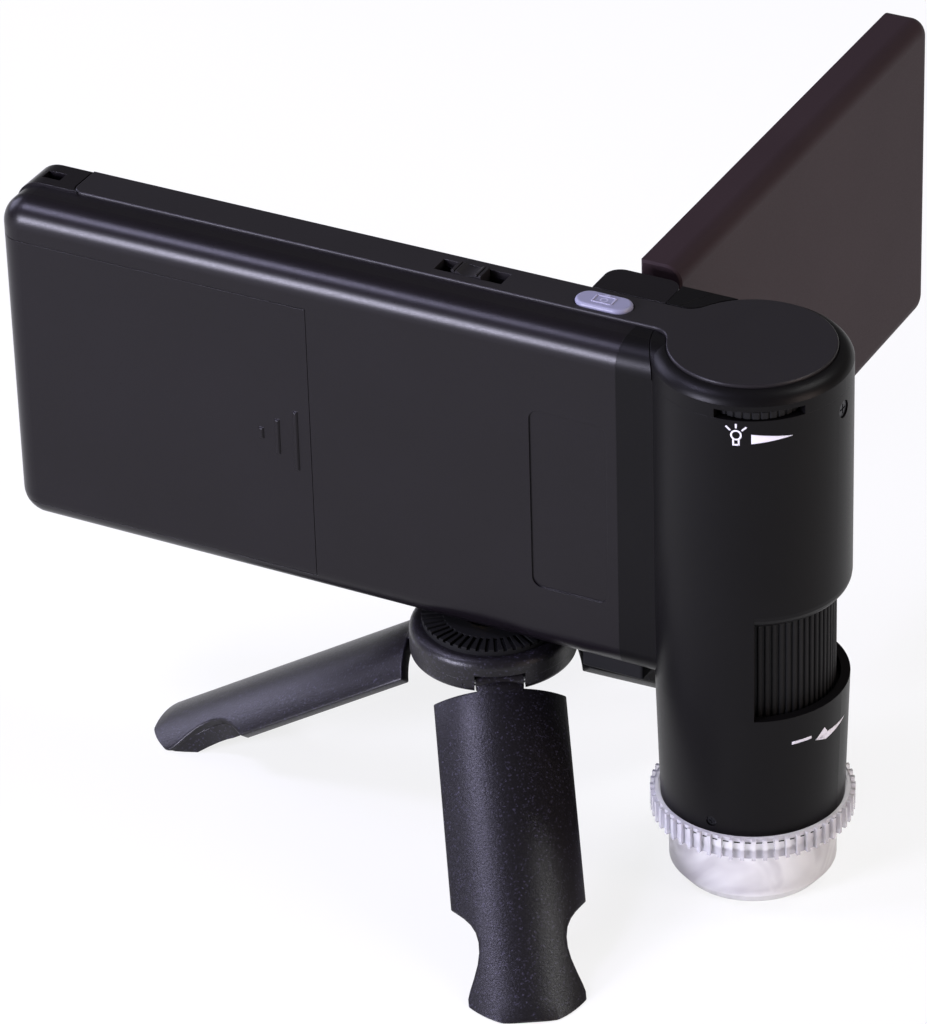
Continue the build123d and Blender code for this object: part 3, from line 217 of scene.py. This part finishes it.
# moulded rubber: dull at every angle
soft_rubber = moulded_plastic("soft_rubber", "#0f0f10", "#141415", 0.58, 0.35, 0.008, gloss=0.15)
print("plastics", [m.name for m in (body_abs, head_abs, lid_abs, leg_abs)])

# %% [markdown]
# ## Metals, glass and clear plastic
# The screws and pins are nickel-plated steel, turned or headed, with faint marks left by the tool. The
# tripod's insert is brass. Clear parts are acrylic: the grip ring is polished, and the cap under it is
# frosted inside so that the lamps' light spreads. Both are glass-like shaders with the index of
# acrylic, 1.49, and a little milk in them. Light that wanders inside such a part shows as grey clouds
# about a centimetre wide; they are painted shade, a slow noise between two tints in the colour.

# %% Metals, glass and clear plastic
shade_cloud_mm = 11
tool_mark_mm, frost_mm = 0.4, 0.5        # both coarser than real marks and real frost, so that they show


def turned_metal(name, colour, roughness):
    """A metal whose fine tool marks vary its gloss and tilt its light a little."""
    material, place = finish(name)
    rings = add(material, "ShaderNodeTexNoise", {"Scale": per_mm(tool_mark_mm), "Detail": 2.0},
                {"Vector": place})
    bump = add(material, "ShaderNodeBump", {"Strength": 0.6, "Distance": 0.004 * MM},
               {"Height": rings.outputs["Fac"]})
    spread = add(material, "ShaderNodeMapRange", {"To Min": roughness - 0.06, "To Max": roughness + 0.08},
                 {"Value": rings.outputs["Fac"]})
    skin = add(material, "ShaderNodeBsdfPrincipled", {"Base Color": linear(colour), "Metallic": 1.0},
               {"Roughness": spread.outputs["Result"], "Normal": bump.outputs["Normal"]})
    return close(material, skin.outputs["BSDF"])


def clear_acrylic(name, colour, shade_colour, roughness, haze):
    """A clear part with clouds of painted shade. Haze is the share of its light that is scattered inside and
    doesn't pass.
    """
    material, place = finish(name)
    # painted shade: slow clouds mix the shade colour into the colour
    painted_shade_clouds = add(material, "ShaderNodeTexNoise",
                 {"Scale": per_mm(shade_cloud_mm), "Detail": 2.0, "Distortion": 1.2}, {"Vector": place})
    shade = add(material, "ShaderNodeMapRange", {"From Min": 0.42, "From Max": 0.62},
                {"Value": painted_shade_clouds.outputs["Fac"]})
    tint = add(material, "ShaderNodeMix", {"A": linear(colour), "B": linear(shade_colour)},
               {"Factor": shade.outputs["Result"]}, data_type="RGBA")
    frost = add(material, "ShaderNodeTexNoise", {"Scale": per_mm(frost_mm), "Detail": 3.0}, {"Vector": place})
    bump = add(material, "ShaderNodeBump", {"Strength": 0.5, "Distance": 0.01 * MM},
               {"Height": frost.outputs["Fac"]})
    skin = add(material, "ShaderNodeBsdfPrincipled",
               {"Roughness": roughness, "IOR": 1.49, "Transmission Weight": 1.0 - haze},
               {"Base Color": tint.outputs["Result"], "Normal": bump.outputs["Normal"]})
    return close(material, skin.outputs["BSDF"])


# bright plating with a soft glint
plated_steel = turned_metal("plated_steel", "#a9a9ad", 0.28)
# black oxide, so that the head's screws hardly show
dark_screw_steel = turned_metal("black_oxide_steel", "#2c2c30", 0.34)
# warm yellow: the threaded insert and the contacts
turned_brass = turned_metal("turned_brass", "#b99a55", 0.30)
# the pouch cell's dull silver skin
battery_foil = turned_metal("battery_foil", "#9a9ca3", 0.42)
# polished: sharp bright rims on every rib
polished_acrylic = clear_acrylic("polished_acrylic", "#f8f7f8", "#efeef2", 0.10, 0.40)
# frosted: the light spreads, so the cap looks milky, with grey clouds of painted shade
frosted_acrylic = clear_acrylic("frosted_acrylic", "#f5f4f2", "#cfcccd", 0.34, 0.42)
# coated glass: clear, with a cool tint
optic_glass = clear_acrylic("coated_optic_glass", "#e8eef2", "#e4eaf0", 0.03, 0.0)
print("metals and clear", [m.name for m in (plated_steel, polished_acrylic, frosted_acrylic)])

# %% [markdown]
# ## Boards, lamps and the screen
# The boards are glass-fibre with green solder mask, and the copper under it shows as a faint lighter
# pattern. Its cells are about two and a half millimetres wide, coarser than real tracks. The lamps are
# white LEDs in clear resin with a yellow phosphor under it, and the screen is dark glass while it is off.

# %% Boards, lamps and the screen
copper_mm, film_mm = 2.4, 14


def solder_mask(name):
    """Green solder mask, lighter where copper lies under it."""
    material, place = finish(name)
    copper = add(material, "ShaderNodeTexVoronoi", {"Scale": per_mm(copper_mm)}, {"Vector": place},
                 feature="DISTANCE_TO_EDGE")
    edge = add(material, "ShaderNodeMapRange", {"From Min": 0.04, "From Max": 0.10},
               {"Value": copper.outputs["Distance"]})
    tint = add(material, "ShaderNodeMix", {"A": linear("#1d6b43"), "B": linear("#0f4a2c")},
               {"Factor": edge.outputs["Result"]}, data_type="RGBA")
    skin = add(material, "ShaderNodeBsdfPrincipled", {"Roughness": 0.35, "IOR": 1.5},
               {"Base Color": tint.outputs["Result"]})
    return close(material, skin.outputs["BSDF"])


def dark_screen(name, colour, roughness):
    """Dark coated glass, whose gloss varies a little, as wiped glass does."""
    material, place = finish(name)
    film = add(material, "ShaderNodeTexNoise", {"Scale": per_mm(film_mm), "Detail": 1.0}, {"Vector": place})
    spread = add(material, "ShaderNodeMapRange", {"To Min": roughness, "To Max": roughness + 0.05},
                 {"Value": film.outputs["Fac"]})
    skin = add(material, "ShaderNodeBsdfPrincipled",
               {"Base Color": linear(colour), "IOR": 1.52, "Coat Weight": 0.6, "Coat Roughness": 0.04},
               {"Roughness": spread.outputs["Result"]})
    return close(material, skin.outputs["BSDF"])


# glass-fibre boards: a green skin with a faint pattern
circuit_board = solder_mask("green_solder_mask")
# the screen while it is off: nearly black, with a clean reflection
screen_dark = dark_screen("dark_screen_glass", "#0b0c10", 0.06)
# the sensor's window: dark violet
sensor_dark = dark_screen("sensor_window", "#1a1426", 0.10)
# clear resin that takes the phosphor's yellow
lamp_resin = clear_acrylic("lamp_resin", "#f3ecc4", "#f3ecc4", 0.10, 0.55)
print("boards and screen", [m.name for m in (circuit_board, screen_dark, lamp_resin)])

# %% [markdown]
# ## Which piece has which finish
# Every solid keeps its place and only gets its material here. The table is by finish, so that a
# change of one finish is one line.

# %% Which piece has which finish
finishes = {
    body_abs: ["rear_shell", "front_shell", "battery_cover", "hinge_block_top", "hinge_block_bottom"],
    head_abs: ["head_housing", "head_cap", "hinge_knuckle"],
    plate_abs: ["top_plate", "power_switch_knob"],
    lid_abs: ["lid_back"],
    bezel_abs: ["lid_bezel"],
    button_abs: ["snapshot_button", "menu_key_ok", "menu_key_up", "menu_key_down", "menu_key_left",
                 "menu_key_right"],
    leg_abs: ["tripod_leg_1", "tripod_leg_2", "tripod_leg_3", "tripod_hub_upper", "tripod_hub_lower"],
    soft_rubber: ["port_cover", "tripod_pad", "focus_wheel", "brightness_wheel"],
    inner_abs: ["focus_guide", "lens_carriage"],
    plated_steel: ["charging_socket", "board_screws", "lid_screws", "hinge_pin", "tilt_shaft", "tilt_bracket",
                   "tripod_screw", "leg_pins", "carriage_pins"],
    dark_screw_steel: ["head_screws"],
    turned_brass: ["battery_contacts", "tripod_socket"],
    battery_foil: ["battery"],
    circuit_board: ["main_board", "switch_board", "dimmer_board", "camera_board", "led_board", "lid_board"],
    lamp_resin: ["led_lamps"],
    optic_glass: ["front_lens", "rear_lens"],
    screen_dark: ["screen_glass", "lcd_panel"],
    sensor_dark: ["image_sensor"],
    polished_acrylic: ["knurled_ring"],
    frosted_acrylic: ["clear_cap"],
}
for material, names in finishes.items():
    for name in names:
        nodes[name].data.materials.clear()
        nodes[name].data.materials.append(material)
bare = sorted(set(nodes) - {n for names in finishes.values() for n in names})
print("finishes", len(finishes), "nodes left bare", bare)

# %% [markdown]
# ## Printed marks on the head
# White pad-printed signs tell which way the lamps get brighter and which way the focus wheel turns. A
# flat drawing pressed onto a round wall is what pad printing does, so each mark is drawn flat, as a few
# cut strips in front of the head, and a Shrinkwrap then presses it onto the wall. A thin Solidify gives
# the ink its thickness. Every strip is a plane whose four corners are moved to their places, and it is
# subdivided so that it can bend. Modifiers are applied at once, because the next step needs the finished
# shape.

# %% Helpers for printed marks
proud_mm = 0.005                         # between ink and wall, so that they don't share a face


def strip(corners_mm, cuts=6):
    """A flat strip in the XZ plane between four corners, each (along, height), given in turn."""
    bpy.ops.object.select_all(action="DESELECT")
    bpy.ops.mesh.primitive_plane_add(size=1)
    piece = bpy.context.active_object
    for vertex, corner in zip((0, 1, 3, 2), corners_mm):
        piece.data.vertices[vertex].co = Vector((corner[0], 0, corner[1])) * MM
    bpy.ops.object.mode_set(mode="EDIT")
    bpy.ops.mesh.select_all(action="SELECT")
    bpy.ops.mesh.subdivide(number_cuts=cuts)
    bpy.ops.object.mode_set(mode="OBJECT")
    return piece


def hoop(radius_mm, width_mm):
    """A flat ring in the XZ plane: a circle extruded and scaled inwards."""
    bpy.ops.object.select_all(action="DESELECT")
    bpy.ops.mesh.primitive_circle_add(vertices=32, radius=radius_mm * MM, rotation=(math.pi / 2, 0, 0))
    piece = bpy.context.active_object
    bpy.ops.object.mode_set(mode="EDIT")
    bpy.ops.mesh.select_all(action="SELECT")
    bpy.ops.mesh.extrude_region_move()
    inner = (radius_mm - width_mm) / radius_mm
    bpy.ops.transform.resize(value=(inner, inner, inner))
    bpy.ops.object.mode_set(mode="OBJECT")
    bpy.ops.object.transform_apply()
    return piece


def only(*pieces):
    """Selects these pieces and nothing else, because an operator acts on all that is selected."""
    bpy.ops.object.select_all(action="DESELECT")
    for piece in pieces:
        piece.select_set(True)
    bpy.context.view_layer.objects.active = pieces[0]


def applied(piece, kind, **settings):
    """Adds a modifier with its settings and applies it."""
    only(piece)
    modifier = piece.modifiers.new("step", kind)
    for name, value in settings.items():
        setattr(modifier, name, value)
    bpy.ops.object.modifier_apply(modifier="step")
    return piece


def joined(name, pieces):
    """The pieces as one object with a name."""
    only(*pieces)
    bpy.ops.object.join()
    pieces[0].name = name
    return pieces[0]


def pressed(drawing, onto, place, turn, ink_mm=0.03):
    """Turns a flat drawing about Z, moves it to its place and presses it onto a node's surface."""
    drawing.matrix_world = Matrix.Translation(place) @ Matrix.Rotation(turn, 4, "Z")
    only(drawing)
    bpy.ops.object.transform_apply()
    applied(drawing, "SHRINKWRAP", target=nodes[onto], wrap_method="NEAREST_SURFACEPOINT",
            wrap_mode="ABOVE_SURFACE", offset=proud_mm * MM)
    return applied(drawing, "SOLIDIFY", thickness=ink_mm * MM, offset=1.0)


def in_front_of_head(angle_deg, height_mm, out_mm=18.6):
    """A place in front of the head's round wall, and the turn that lays a flat drawing along it."""
    angle = math.radians(angle_deg)
    place = axis_foot + Vector((out_mm * math.cos(angle), out_mm * math.sin(angle), height_mm)) * MM
    return place, angle + math.pi / 2


print("a mark 100 mm up starts at", [round(c / MM, 1) for c in in_front_of_head(-90, 100)[0]])

# %% [markdown]
# ## The lamp mark and the wedge
# A little bulb with three rays and, beside it, a wedge that narrows the way the wheel dims the lamps.

# %% The lamp mark and the wedge
line = 0.34                              # width of a printed line, mm
bulb_foot, bulb_neck = -2.1, -0.85       # height of the bulb's socket below its middle, mm
rays = {-48: 2.55, 0: 2.3, 48: 2.55}     # each ray's lean in degrees and how far out it ends, mm
bulb = [hoop(1.06, line)]
for side in (-0.5, 0.5):
    bulb.append(strip([(side - line / 2, bulb_foot), (side + line / 2, bulb_foot),
                       (side + line / 2, bulb_neck), (side - line / 2, bulb_neck)], 1))
bulb.append(strip([(-0.5, bulb_foot), (0.5, bulb_foot),
                   (0.5, bulb_foot + line), (-0.5, bulb_foot + line)], 1))
for lean_deg, ray_end in rays.items():
    lean = math.radians(lean_deg)
    out = Vector((math.sin(lean), math.cos(lean)))
    across = Vector((math.cos(lean), -math.sin(lean))) * line / 2
    near, far = out * 1.4, out * ray_end
    bulb.append(strip([tuple(p) for p in (near - across, near + across, far + across, far - across)], 1))
# pad-printed ink: flat white with hardly any shine
ink = moulded_plastic("white_print_ink", "#d9d8dc", "#d2d1d6", 0.55, 0.25, 0.002, gloss=0.3)
lamp_mark = pressed(joined("lamp_mark", bulb), "head_housing", *in_front_of_head(-74.0, 102.2))
wedge = strip([(-3.9, -1.0), (3.9, -0.03), (3.9, 0.03), (-3.9, 0.95)], 8)
wedge.name = "dimmer_wedge"
pressed(wedge, "head_housing", *in_front_of_head(-53.6, 101.5))
for piece in (lamp_mark, wedge):
    piece.data.materials.append(ink)
    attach(piece, "body")
print("marks", lamp_mark.name, len(lamp_mark.data.polygons), wedge.name, len(wedge.data.polygons))

# %% [markdown]
# ## The focus mark
# A short dash and an arrow with one barb run round the barrel under the window of the focus wheel.

# %% The focus mark
dash = strip([(-2.1, -0.3), (2.1, -0.3), (2.1, 0.3), (-2.1, 0.3)], 6)
dash.name = "focus_dash"
pressed(dash, "head_housing", *in_front_of_head(-34.5, 36.6, 17.9))
shaft = strip([(-3.4, 0.15), (-0.6, -0.75), (6.6, 0.55), (0.3, 0.75)], 8)
barb = strip([(-3.4, 0.15), (-1.2, -0.2), (-0.2, 0.8), (-1.1, 2.0)], 4)
arrow = pressed(joined("focus_arrow", [shaft, barb]), "head_housing", *in_front_of_head(-14.0, 35.3, 17.9))
for piece in (dash, arrow):
    piece.data.materials.append(ink)
    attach(piece, "body")
print("marks", dash.name, arrow.name)

# %% [markdown]
# ## The tripod's legs
# Each leg is a moulded channel of thin wall: round outside, waisted above the foot, and closed at the
# foot by a web. A station is a place along the leg, measured from the hinge pin, with half of the width
# there. All sizes are in millimetres.

# %% Sizes of a leg
leg_crown_r = 17.16                     # radius of the section's outer face
leg_crown_out = 1.5                     # from the hinge pin out to the crown
leg_wall, leg_edge = 2.2, 0.35          # the channel's wall, and the softening of its edges
leg_spread = math.radians(58)           # how far a leg is swung out at rest
sharp_edge, smooth_below = math.radians(40), math.radians(35)     # what is eased, what is shaded smooth
neck_half, leg_half, waist_half, foot_half = 4.4, 12.4, 8.1, 10.75
neck = [(0.3, neck_half), (3.4, neck_half)]
stations = [(2.5, leg_half), (12, leg_half), (23, leg_half), (34, leg_half), (43.5, leg_half),
            (44.6, 11.5), (46.0, 10.35), (47.6, 9.25), (49.4, 8.45), (51.4, waist_half), (53.4, 8.15),
            (55.6, 8.6), (58.0, 9.45), (60.2, 10.35), (61.5, foot_half), (64.5, foot_half), (68.0, foot_half)]
web_start, web_inset = 47, 1.5          # where the web begins, and how much narrower it is on each side
web_front, web_back = 3.6, 6.9          # the web's two faces, behind the crown
barrel_r, barrel_wall = 1.9, 0.85       # the tube round the hinge pin
table_cut = 0.02                        # height of the cut through a foot, just over the table
print("leg of", stations[-1][0], "mm with", len(stations), "stations")

# %% [markdown]
# ## A strip made station by station
# A long narrow form with a changing width is made from its first stretch: the free edge is extruded to
# the next station and scaled to the width there, again and again. The scaling is about the leg's middle
# line, so both sides stay alike. Where the strip is to be bent afterwards, its widths are measured along
# the arc, so that it has the right width once it is round.

# %% A strip made station by station
def channel_strip(rows, arc_r=None, across=24):
    """A flat strip hanging down from its first station, as wide as each station says along the arc."""
    widths = [(along, arc_r * math.asin(half / arc_r) if arc_r else half) for along, half in rows]
    bpy.ops.object.select_all(action="DESELECT")
    bpy.ops.mesh.primitive_grid_add(x_subdivisions=across, y_subdivisions=1, size=1,
                                    rotation=(math.pi / 2, 0, 0))
    piece = bpy.context.active_object
    first, second = widths[:2]
    piece.scale = (2 * first[1] * MM, (second[0] - first[0]) * MM, 1)
    piece.location.z = -(first[0] + second[0]) / 2 * MM
    bpy.ops.object.transform_apply()
    bpy.ops.object.mode_set(mode="EDIT")
    bpy.ops.mesh.select_mode(type="VERT")
    bpy.ops.mesh.select_all(action="DESELECT")
    bpy.ops.object.mode_set(mode="OBJECT")
    end_z = min(v.co.z for v in piece.data.vertices)
    for vertex in piece.data.vertices:
        vertex.select = vertex.co.z < end_z + 1e-6
    bpy.ops.object.mode_set(mode="EDIT")
    for (along, half), (next_along, next_half) in zip(widths[1:], widths[2:]):
        bpy.ops.mesh.extrude_region_move(TRANSFORM_OT_translate={"value": (0, 0, (along - next_along) * MM)})
        bpy.ops.transform.resize(value=(next_half / half, 1, 1), center_override=(0, 0, -next_along * MM))
    bpy.ops.mesh.select_all(action="SELECT")
    bpy.ops.mesh.normals_make_consistent(inside=False)
    bpy.ops.object.mode_set(mode="OBJECT")
    return piece


arc = 2 * leg_crown_r * math.asin(leg_half / leg_crown_r)
print("a leg", 2 * leg_half, "mm wide starts as a flat strip", round(arc, 1), "mm wide")

# %% [markdown]
# ## The shapes of a leg
# A leg is four shapes: the channel, its narrow neck at the hub, the web and the hinge barrel. A Simple
# Deform bends the flat strip to its round section, Solidify gives the wall and Bevel eases the edges.
# The channel's hollow has to face the hub. The direction of a flat sheet's normals decides to which side
# Solidify adds the wall, so both are looked up in the mesh, and the crown's place is printed. The web
# lies well behind the crown, so the cut of the waist shows a deep edge.

# %% The shapes of a leg
def bent_channel(rows):
    """A strip bent round the leg's section, with the leg's wall to the inside and eased edges."""
    piece = channel_strip(rows, leg_crown_r)
    widest = max(half for along, half in rows)
    applied(piece, "SIMPLE_DEFORM", deform_method="BEND", deform_axis="Z",
            angle=2 * math.asin(widest / leg_crown_r))
    crown_side = 1 if max(v.co.y for v in piece.data.vertices) > 0.1 * MM else -1
    piece.data.transform(Matrix.Scale(crown_side, 4, (0, 1, 0)))
    piece.data.transform(Matrix.Translation((0, -leg_crown_out * MM, 0)))
    middle = min(piece.data.polygons, key=lambda face: abs(face.center.x))
    applied(piece, "SOLIDIFY", thickness=leg_wall * MM, offset=1 if middle.normal.y > 0 else -1)
    return applied(piece, "BEVEL", width=leg_edge * MM, segments=3, limit_method="ANGLE",
                   angle_limit=sharp_edge)


def leg_shapes():
    """The channel, the neck, the web and the barrel, hanging straight down from the hinge pin."""
    channel, neck_piece = bent_channel(stations), bent_channel(neck)
    web_rows = [(along, half - web_inset) for along, half in stations if along > web_start]
    web = channel_strip(web_rows, across=2)
    web.data.transform(Matrix.Translation((0, ((web_front + web_back) / 2 - leg_crown_out) * MM, 0)))
    applied(web, "SOLIDIFY", thickness=(web_back - web_front) * MM, offset=0)
    bpy.ops.object.select_all(action="DESELECT")
    bpy.ops.mesh.primitive_cylinder_add(vertices=48, radius=barrel_r * MM, depth=2 * neck_half * MM,
                                        end_fill_type="NOTHING", rotation=(0, math.pi / 2, 0))
    barrel = bpy.context.active_object
    bpy.ops.object.transform_apply()
    applied(barrel, "SOLIDIFY", thickness=barrel_wall * MM, offset=-1)
    return [channel, neck_piece, web, barrel]


shapes = leg_shapes()
crown = min(v.co.y for v in shapes[0].data.vertices)
print("leg shapes", [len(shape.data.polygons) for shape in shapes], "crown out", round(-crown / MM, 2), "mm")

# %% [markdown]
# ## Three legs in place
# The leg is made once about its hinge pin, and each copy is turned to its joint. The frame gives each
# leg's hinge: its point and its axis. The axis lies across the leg, so it also says which way the leg
# points. A foot stands flat because what reaches below the table is cut away and the cut is filled.

# %% Three legs in place
def leg_place(joint):
    """The place of a leg at rest: about its hinge pin, along the joint's axis, swung out by its spread."""
    heading = math.atan2(-joint["axis"][0], joint["axis"][1])
    return (Matrix.Translation(joint["pos_m"]) @ Matrix.Rotation(heading, 4, "Z")
            @ Matrix.Rotation(-leg_spread, 4, "Y") @ Matrix.Rotation(math.pi / 2, 4, "Z"))


def standing_leg(joint):
    """One leg: its shapes turned to the joint, cut level at the table, joined and smoothed."""
    parts = []
    for shape in shapes:
        part = shape.copy()
        part.data = shape.data.copy()
        part.data.transform(leg_place(joint))
        bpy.context.scene.collection.objects.link(part)
        only(part)
        bpy.ops.object.mode_set(mode="EDIT")
        bpy.ops.mesh.select_all(action="SELECT")
        bpy.ops.mesh.normals_make_consistent(inside=False)
        bpy.ops.mesh.bisect(plane_co=(0, 0, table_cut * MM), plane_no=(0, 0, 1), clear_inner=True,
                            use_fill=True)
        bpy.ops.object.mode_set(mode="OBJECT")
        parts.append(part)
    leg = joined(joint["child"] + "_moulded", parts)
    leg.data.materials.append(leg_abs)
    only(leg)
    bpy.ops.object.shade_smooth_by_angle(angle=smooth_below)
    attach(leg, joint["child"])
    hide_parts(joint["child"])
    return leg


for joint in frame["joints"]:
    if joint["name"].startswith("leg_"):
        leg = standing_leg(joint)
        print(leg.name, "triangles about", 2 * len(leg.data.polygons))
for shape in shapes:
    bpy.data.objects.remove(shape)

# %% [markdown]
# ## Painted shade of the slots in the grip ring
# Between its ribs the clear ring has a row of narrow slots. They are not cut: the shade in each slot is
# painted as a small dark bar just proud of the ring's wall, modelled once with softened edges and copied
# round the axis.

# %% Painted shade of the slots in the grip ring
def slot_shade_bars(count=56, radius_mm=18.05, height_mm=16.1, size_mm=(0.16, 1.15, 0.30), soft_mm=0.05):
    """The dark bars of painted slot shade as one piece: one bar is modelled, and each is a turned copy of its
    mesh.
    """
    bpy.ops.object.select_all(action="DESELECT")
    bpy.ops.mesh.primitive_cube_add(size=1)
    bar = bpy.context.active_object
    bar.scale = Vector(size_mm) * MM
    bpy.ops.object.transform_apply()
    applied(bar, "BEVEL", width=soft_mm * MM, segments=1)
    shade_bars = []
    for step in range(count):
        angle = 2 * math.pi * (step + 0.5) / count
        place = axis_foot + Vector((radius_mm * math.cos(angle), radius_mm * math.sin(angle), height_mm)) * MM
        shade_bar = bpy.data.objects.new("shade_bar", bar.data.copy())
        shade_bar.data.transform(Matrix.Translation(place) @ Matrix.Rotation(angle, 4, "Z"))
        bpy.context.scene.collection.objects.link(shade_bar)
        shade_bars.append(shade_bar)
    bpy.data.objects.remove(bar)
    return joined("slot_shade_bars", shade_bars)


shade_bars = slot_shade_bars()
# dark bars: painted shade of the slots, in the dark inner plastic
shade_bars.data.materials.append(inner_abs)
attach(shade_bars, "nose_cap")
print("ring slots", len(shade_bars.data.polygons))

# %% [markdown]
# ## The camera sign on the button
# The snapshot button carries a raised sign of a camera: a frame, a lens and a finder. It is drawn with
# the same strips, laid down flat and pressed onto the button's top.

# %% The camera sign on the button
def camera_sign(line=0.28, half=1.9, tall=1.15, lens_radius=0.78):
    """The sign drawn flat, in millimetres: the lens, the frame's four sides and the finder on top."""
    sign = [hoop(lens_radius, line)]
    for side in (-1, 1):
        sign.append(strip([(side * half - line / 2, -tall), (side * half + line / 2, -tall),
                           (side * half + line / 2, tall), (side * half - line / 2, tall)], 1))
        sign.append(strip([(-half, side * tall - line / 2), (half, side * tall - line / 2),
                           (half, side * tall + line / 2), (-half, side * tall + line / 2)], 1))
    sign.append(strip([(-0.6, tall + 0.1), (0.6, tall + 0.1), (0.5, tall + 0.6), (-0.5, tall + 0.6)], 1))
    return joined("camera_sign", sign)


sign = camera_sign()
sign.data.transform(Matrix.Rotation(-math.pi / 2, 4, "X"))
button_low, button_high = (Vector(corner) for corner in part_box("snapshot_button"))
button_top = Vector(((button_low.x + button_high.x) / 2, (button_low.y + button_high.y) / 2,
                     button_high.z + 0.2 * MM))          # the drawing starts 0.2 mm over the button
pressed(sign, "snapshot_button", button_top, 0.0, ink_mm=0.12)
# the raised lines are lighter than the button, and smoother
sign.data.materials.append(moulded_plastic("bright_silver_paint", "#a3a2b8", "#9d9cb2", 0.30, 0.20, 0.002,
                                           gloss=0.5))
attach(sign, "snapshot_button")
print("camera sign", [round(c / MM, 2) for c in button_top])

# %% [markdown]
# ## The floor
# The floor is a large pale sheet with a plain matt finish. Seen by the camera it is white paper: the
# colour comes from its material, not from extra light on the object. Light Path tells the camera's
# rays from the rays that light the object, so the floor can be white to the eye and still take the
# object's shadow. Mirrored and refracted rays count as the camera's, so metal and clear plastic show the
# same white.

# %% The floor
floor_size_m, floor_below_mm = 8, 0.2
paper_white = 0.8                        # how much of what is seen is plain white, the rest is lit paper


def ground():
    """A large sheet just under the feet, as part of the stage and not of the object."""
    bpy.ops.object.select_all(action="DESELECT")
    bpy.ops.mesh.primitive_plane_add(size=floor_size_m, location=(0, 0, -floor_below_mm * MM))
    floor = bpy.context.active_object
    floor.name = "floor"
    material, _ = finish("white_paper")      # matt paper: no gloss, so that only a soft shadow shows
    paper = add(material, "ShaderNodeBsdfDiffuse", {"Color": linear("#f2f2f4")})
    seen = add(material, "ShaderNodeLightPath")
    white = add(material, "ShaderNodeEmission", {"Color": (1, 1, 1, 1), "Strength": 1.0})
    shown = seen.outputs["Is Camera Ray"]
    for ray in ("Is Glossy Ray", "Is Transmission Ray"):
        either = add(material, "ShaderNodeMath", links={0: shown, 1: seen.outputs[ray]}, operation="MAXIMUM")
        shown = either.outputs[0]
    share = add(material, "ShaderNodeMath", {1: paper_white}, {0: shown}, operation="MULTIPLY")
    both = add(material, "ShaderNodeMixShader",
               links={0: share.outputs[0], 1: paper.outputs["BSDF"], 2: white.outputs["Emission"]})
    floor.data.materials.append(close(material, both.outputs["Shader"]))
    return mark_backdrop(floor)


ground()
print("floor laid")

# %% [markdown]
# ## The lamps
# Five soft boxes. The key is a low bright one in front on the left: the body's rounded top edge mirrors
# it into the camera as one long highlight. Two small ones hang over the object, to the left and to the
# right, where the front leg's round back mirrors each as a stripe of sheen. A large weak one on the left
# and one on the right open the shadows. The world adds the rest. Each line gives a lamp's place, what it
# looks at, its size in millimetres, its power in watts and its colour.

# %% The lamps
def soft_box(name, place_mm, aim_mm, size_mm, power, colour):
    """A rectangular lamp that looks at a point."""
    lamp = bpy.data.lights.new(name, "AREA")
    lamp.shape, lamp.size, lamp.size_y = "RECTANGLE", size_mm[0] * MM, size_mm[1] * MM
    lamp.energy, lamp.color = power, linear(colour)[:3]
    box = bpy.data.objects.new(name, lamp)
    box.location = Vector(place_mm) * MM
    towards = (Vector(aim_mm) - Vector(place_mm)).normalized()
    box.rotation_mode = "QUATERNION"
    box.rotation_quaternion = towards.to_track_quat("-Z", "Y")
    bpy.context.scene.collection.objects.link(box)
    return box


middle = (-10, -10, 70)                  # about the middle of the object, which every lamp looks at
world_white = 0.15                       # strength of the even light from all sides
soft_box("key_soft_box", (-480, -960, 330), middle, (320, 300), 20, "#e8e6ff")
soft_box("left_soft_box", (-950, 130, 480), middle, (500, 500), 5, "#dedcff")
soft_box("top_left_soft_box", (-480, -310, 900), middle, (240, 240), 5, "#dcd8ff")
soft_box("top_right_soft_box", (490, 300, 890), middle, (320, 320), 3, "#ffffff")
soft_box("right_soft_box", (800, -100, 260), middle, (300, 500), 3, "#ffe9df")
world = bpy.data.worlds.new("studio")
world.use_nodes = True
world.node_tree.nodes["Background"].inputs["Color"].default_value = (1, 1, 1, 1)
world.node_tree.nodes["Background"].inputs["Strength"].default_value = world_white
bpy.context.scene.world = world
bpy.context.scene.view_settings.view_transform = "Standard"
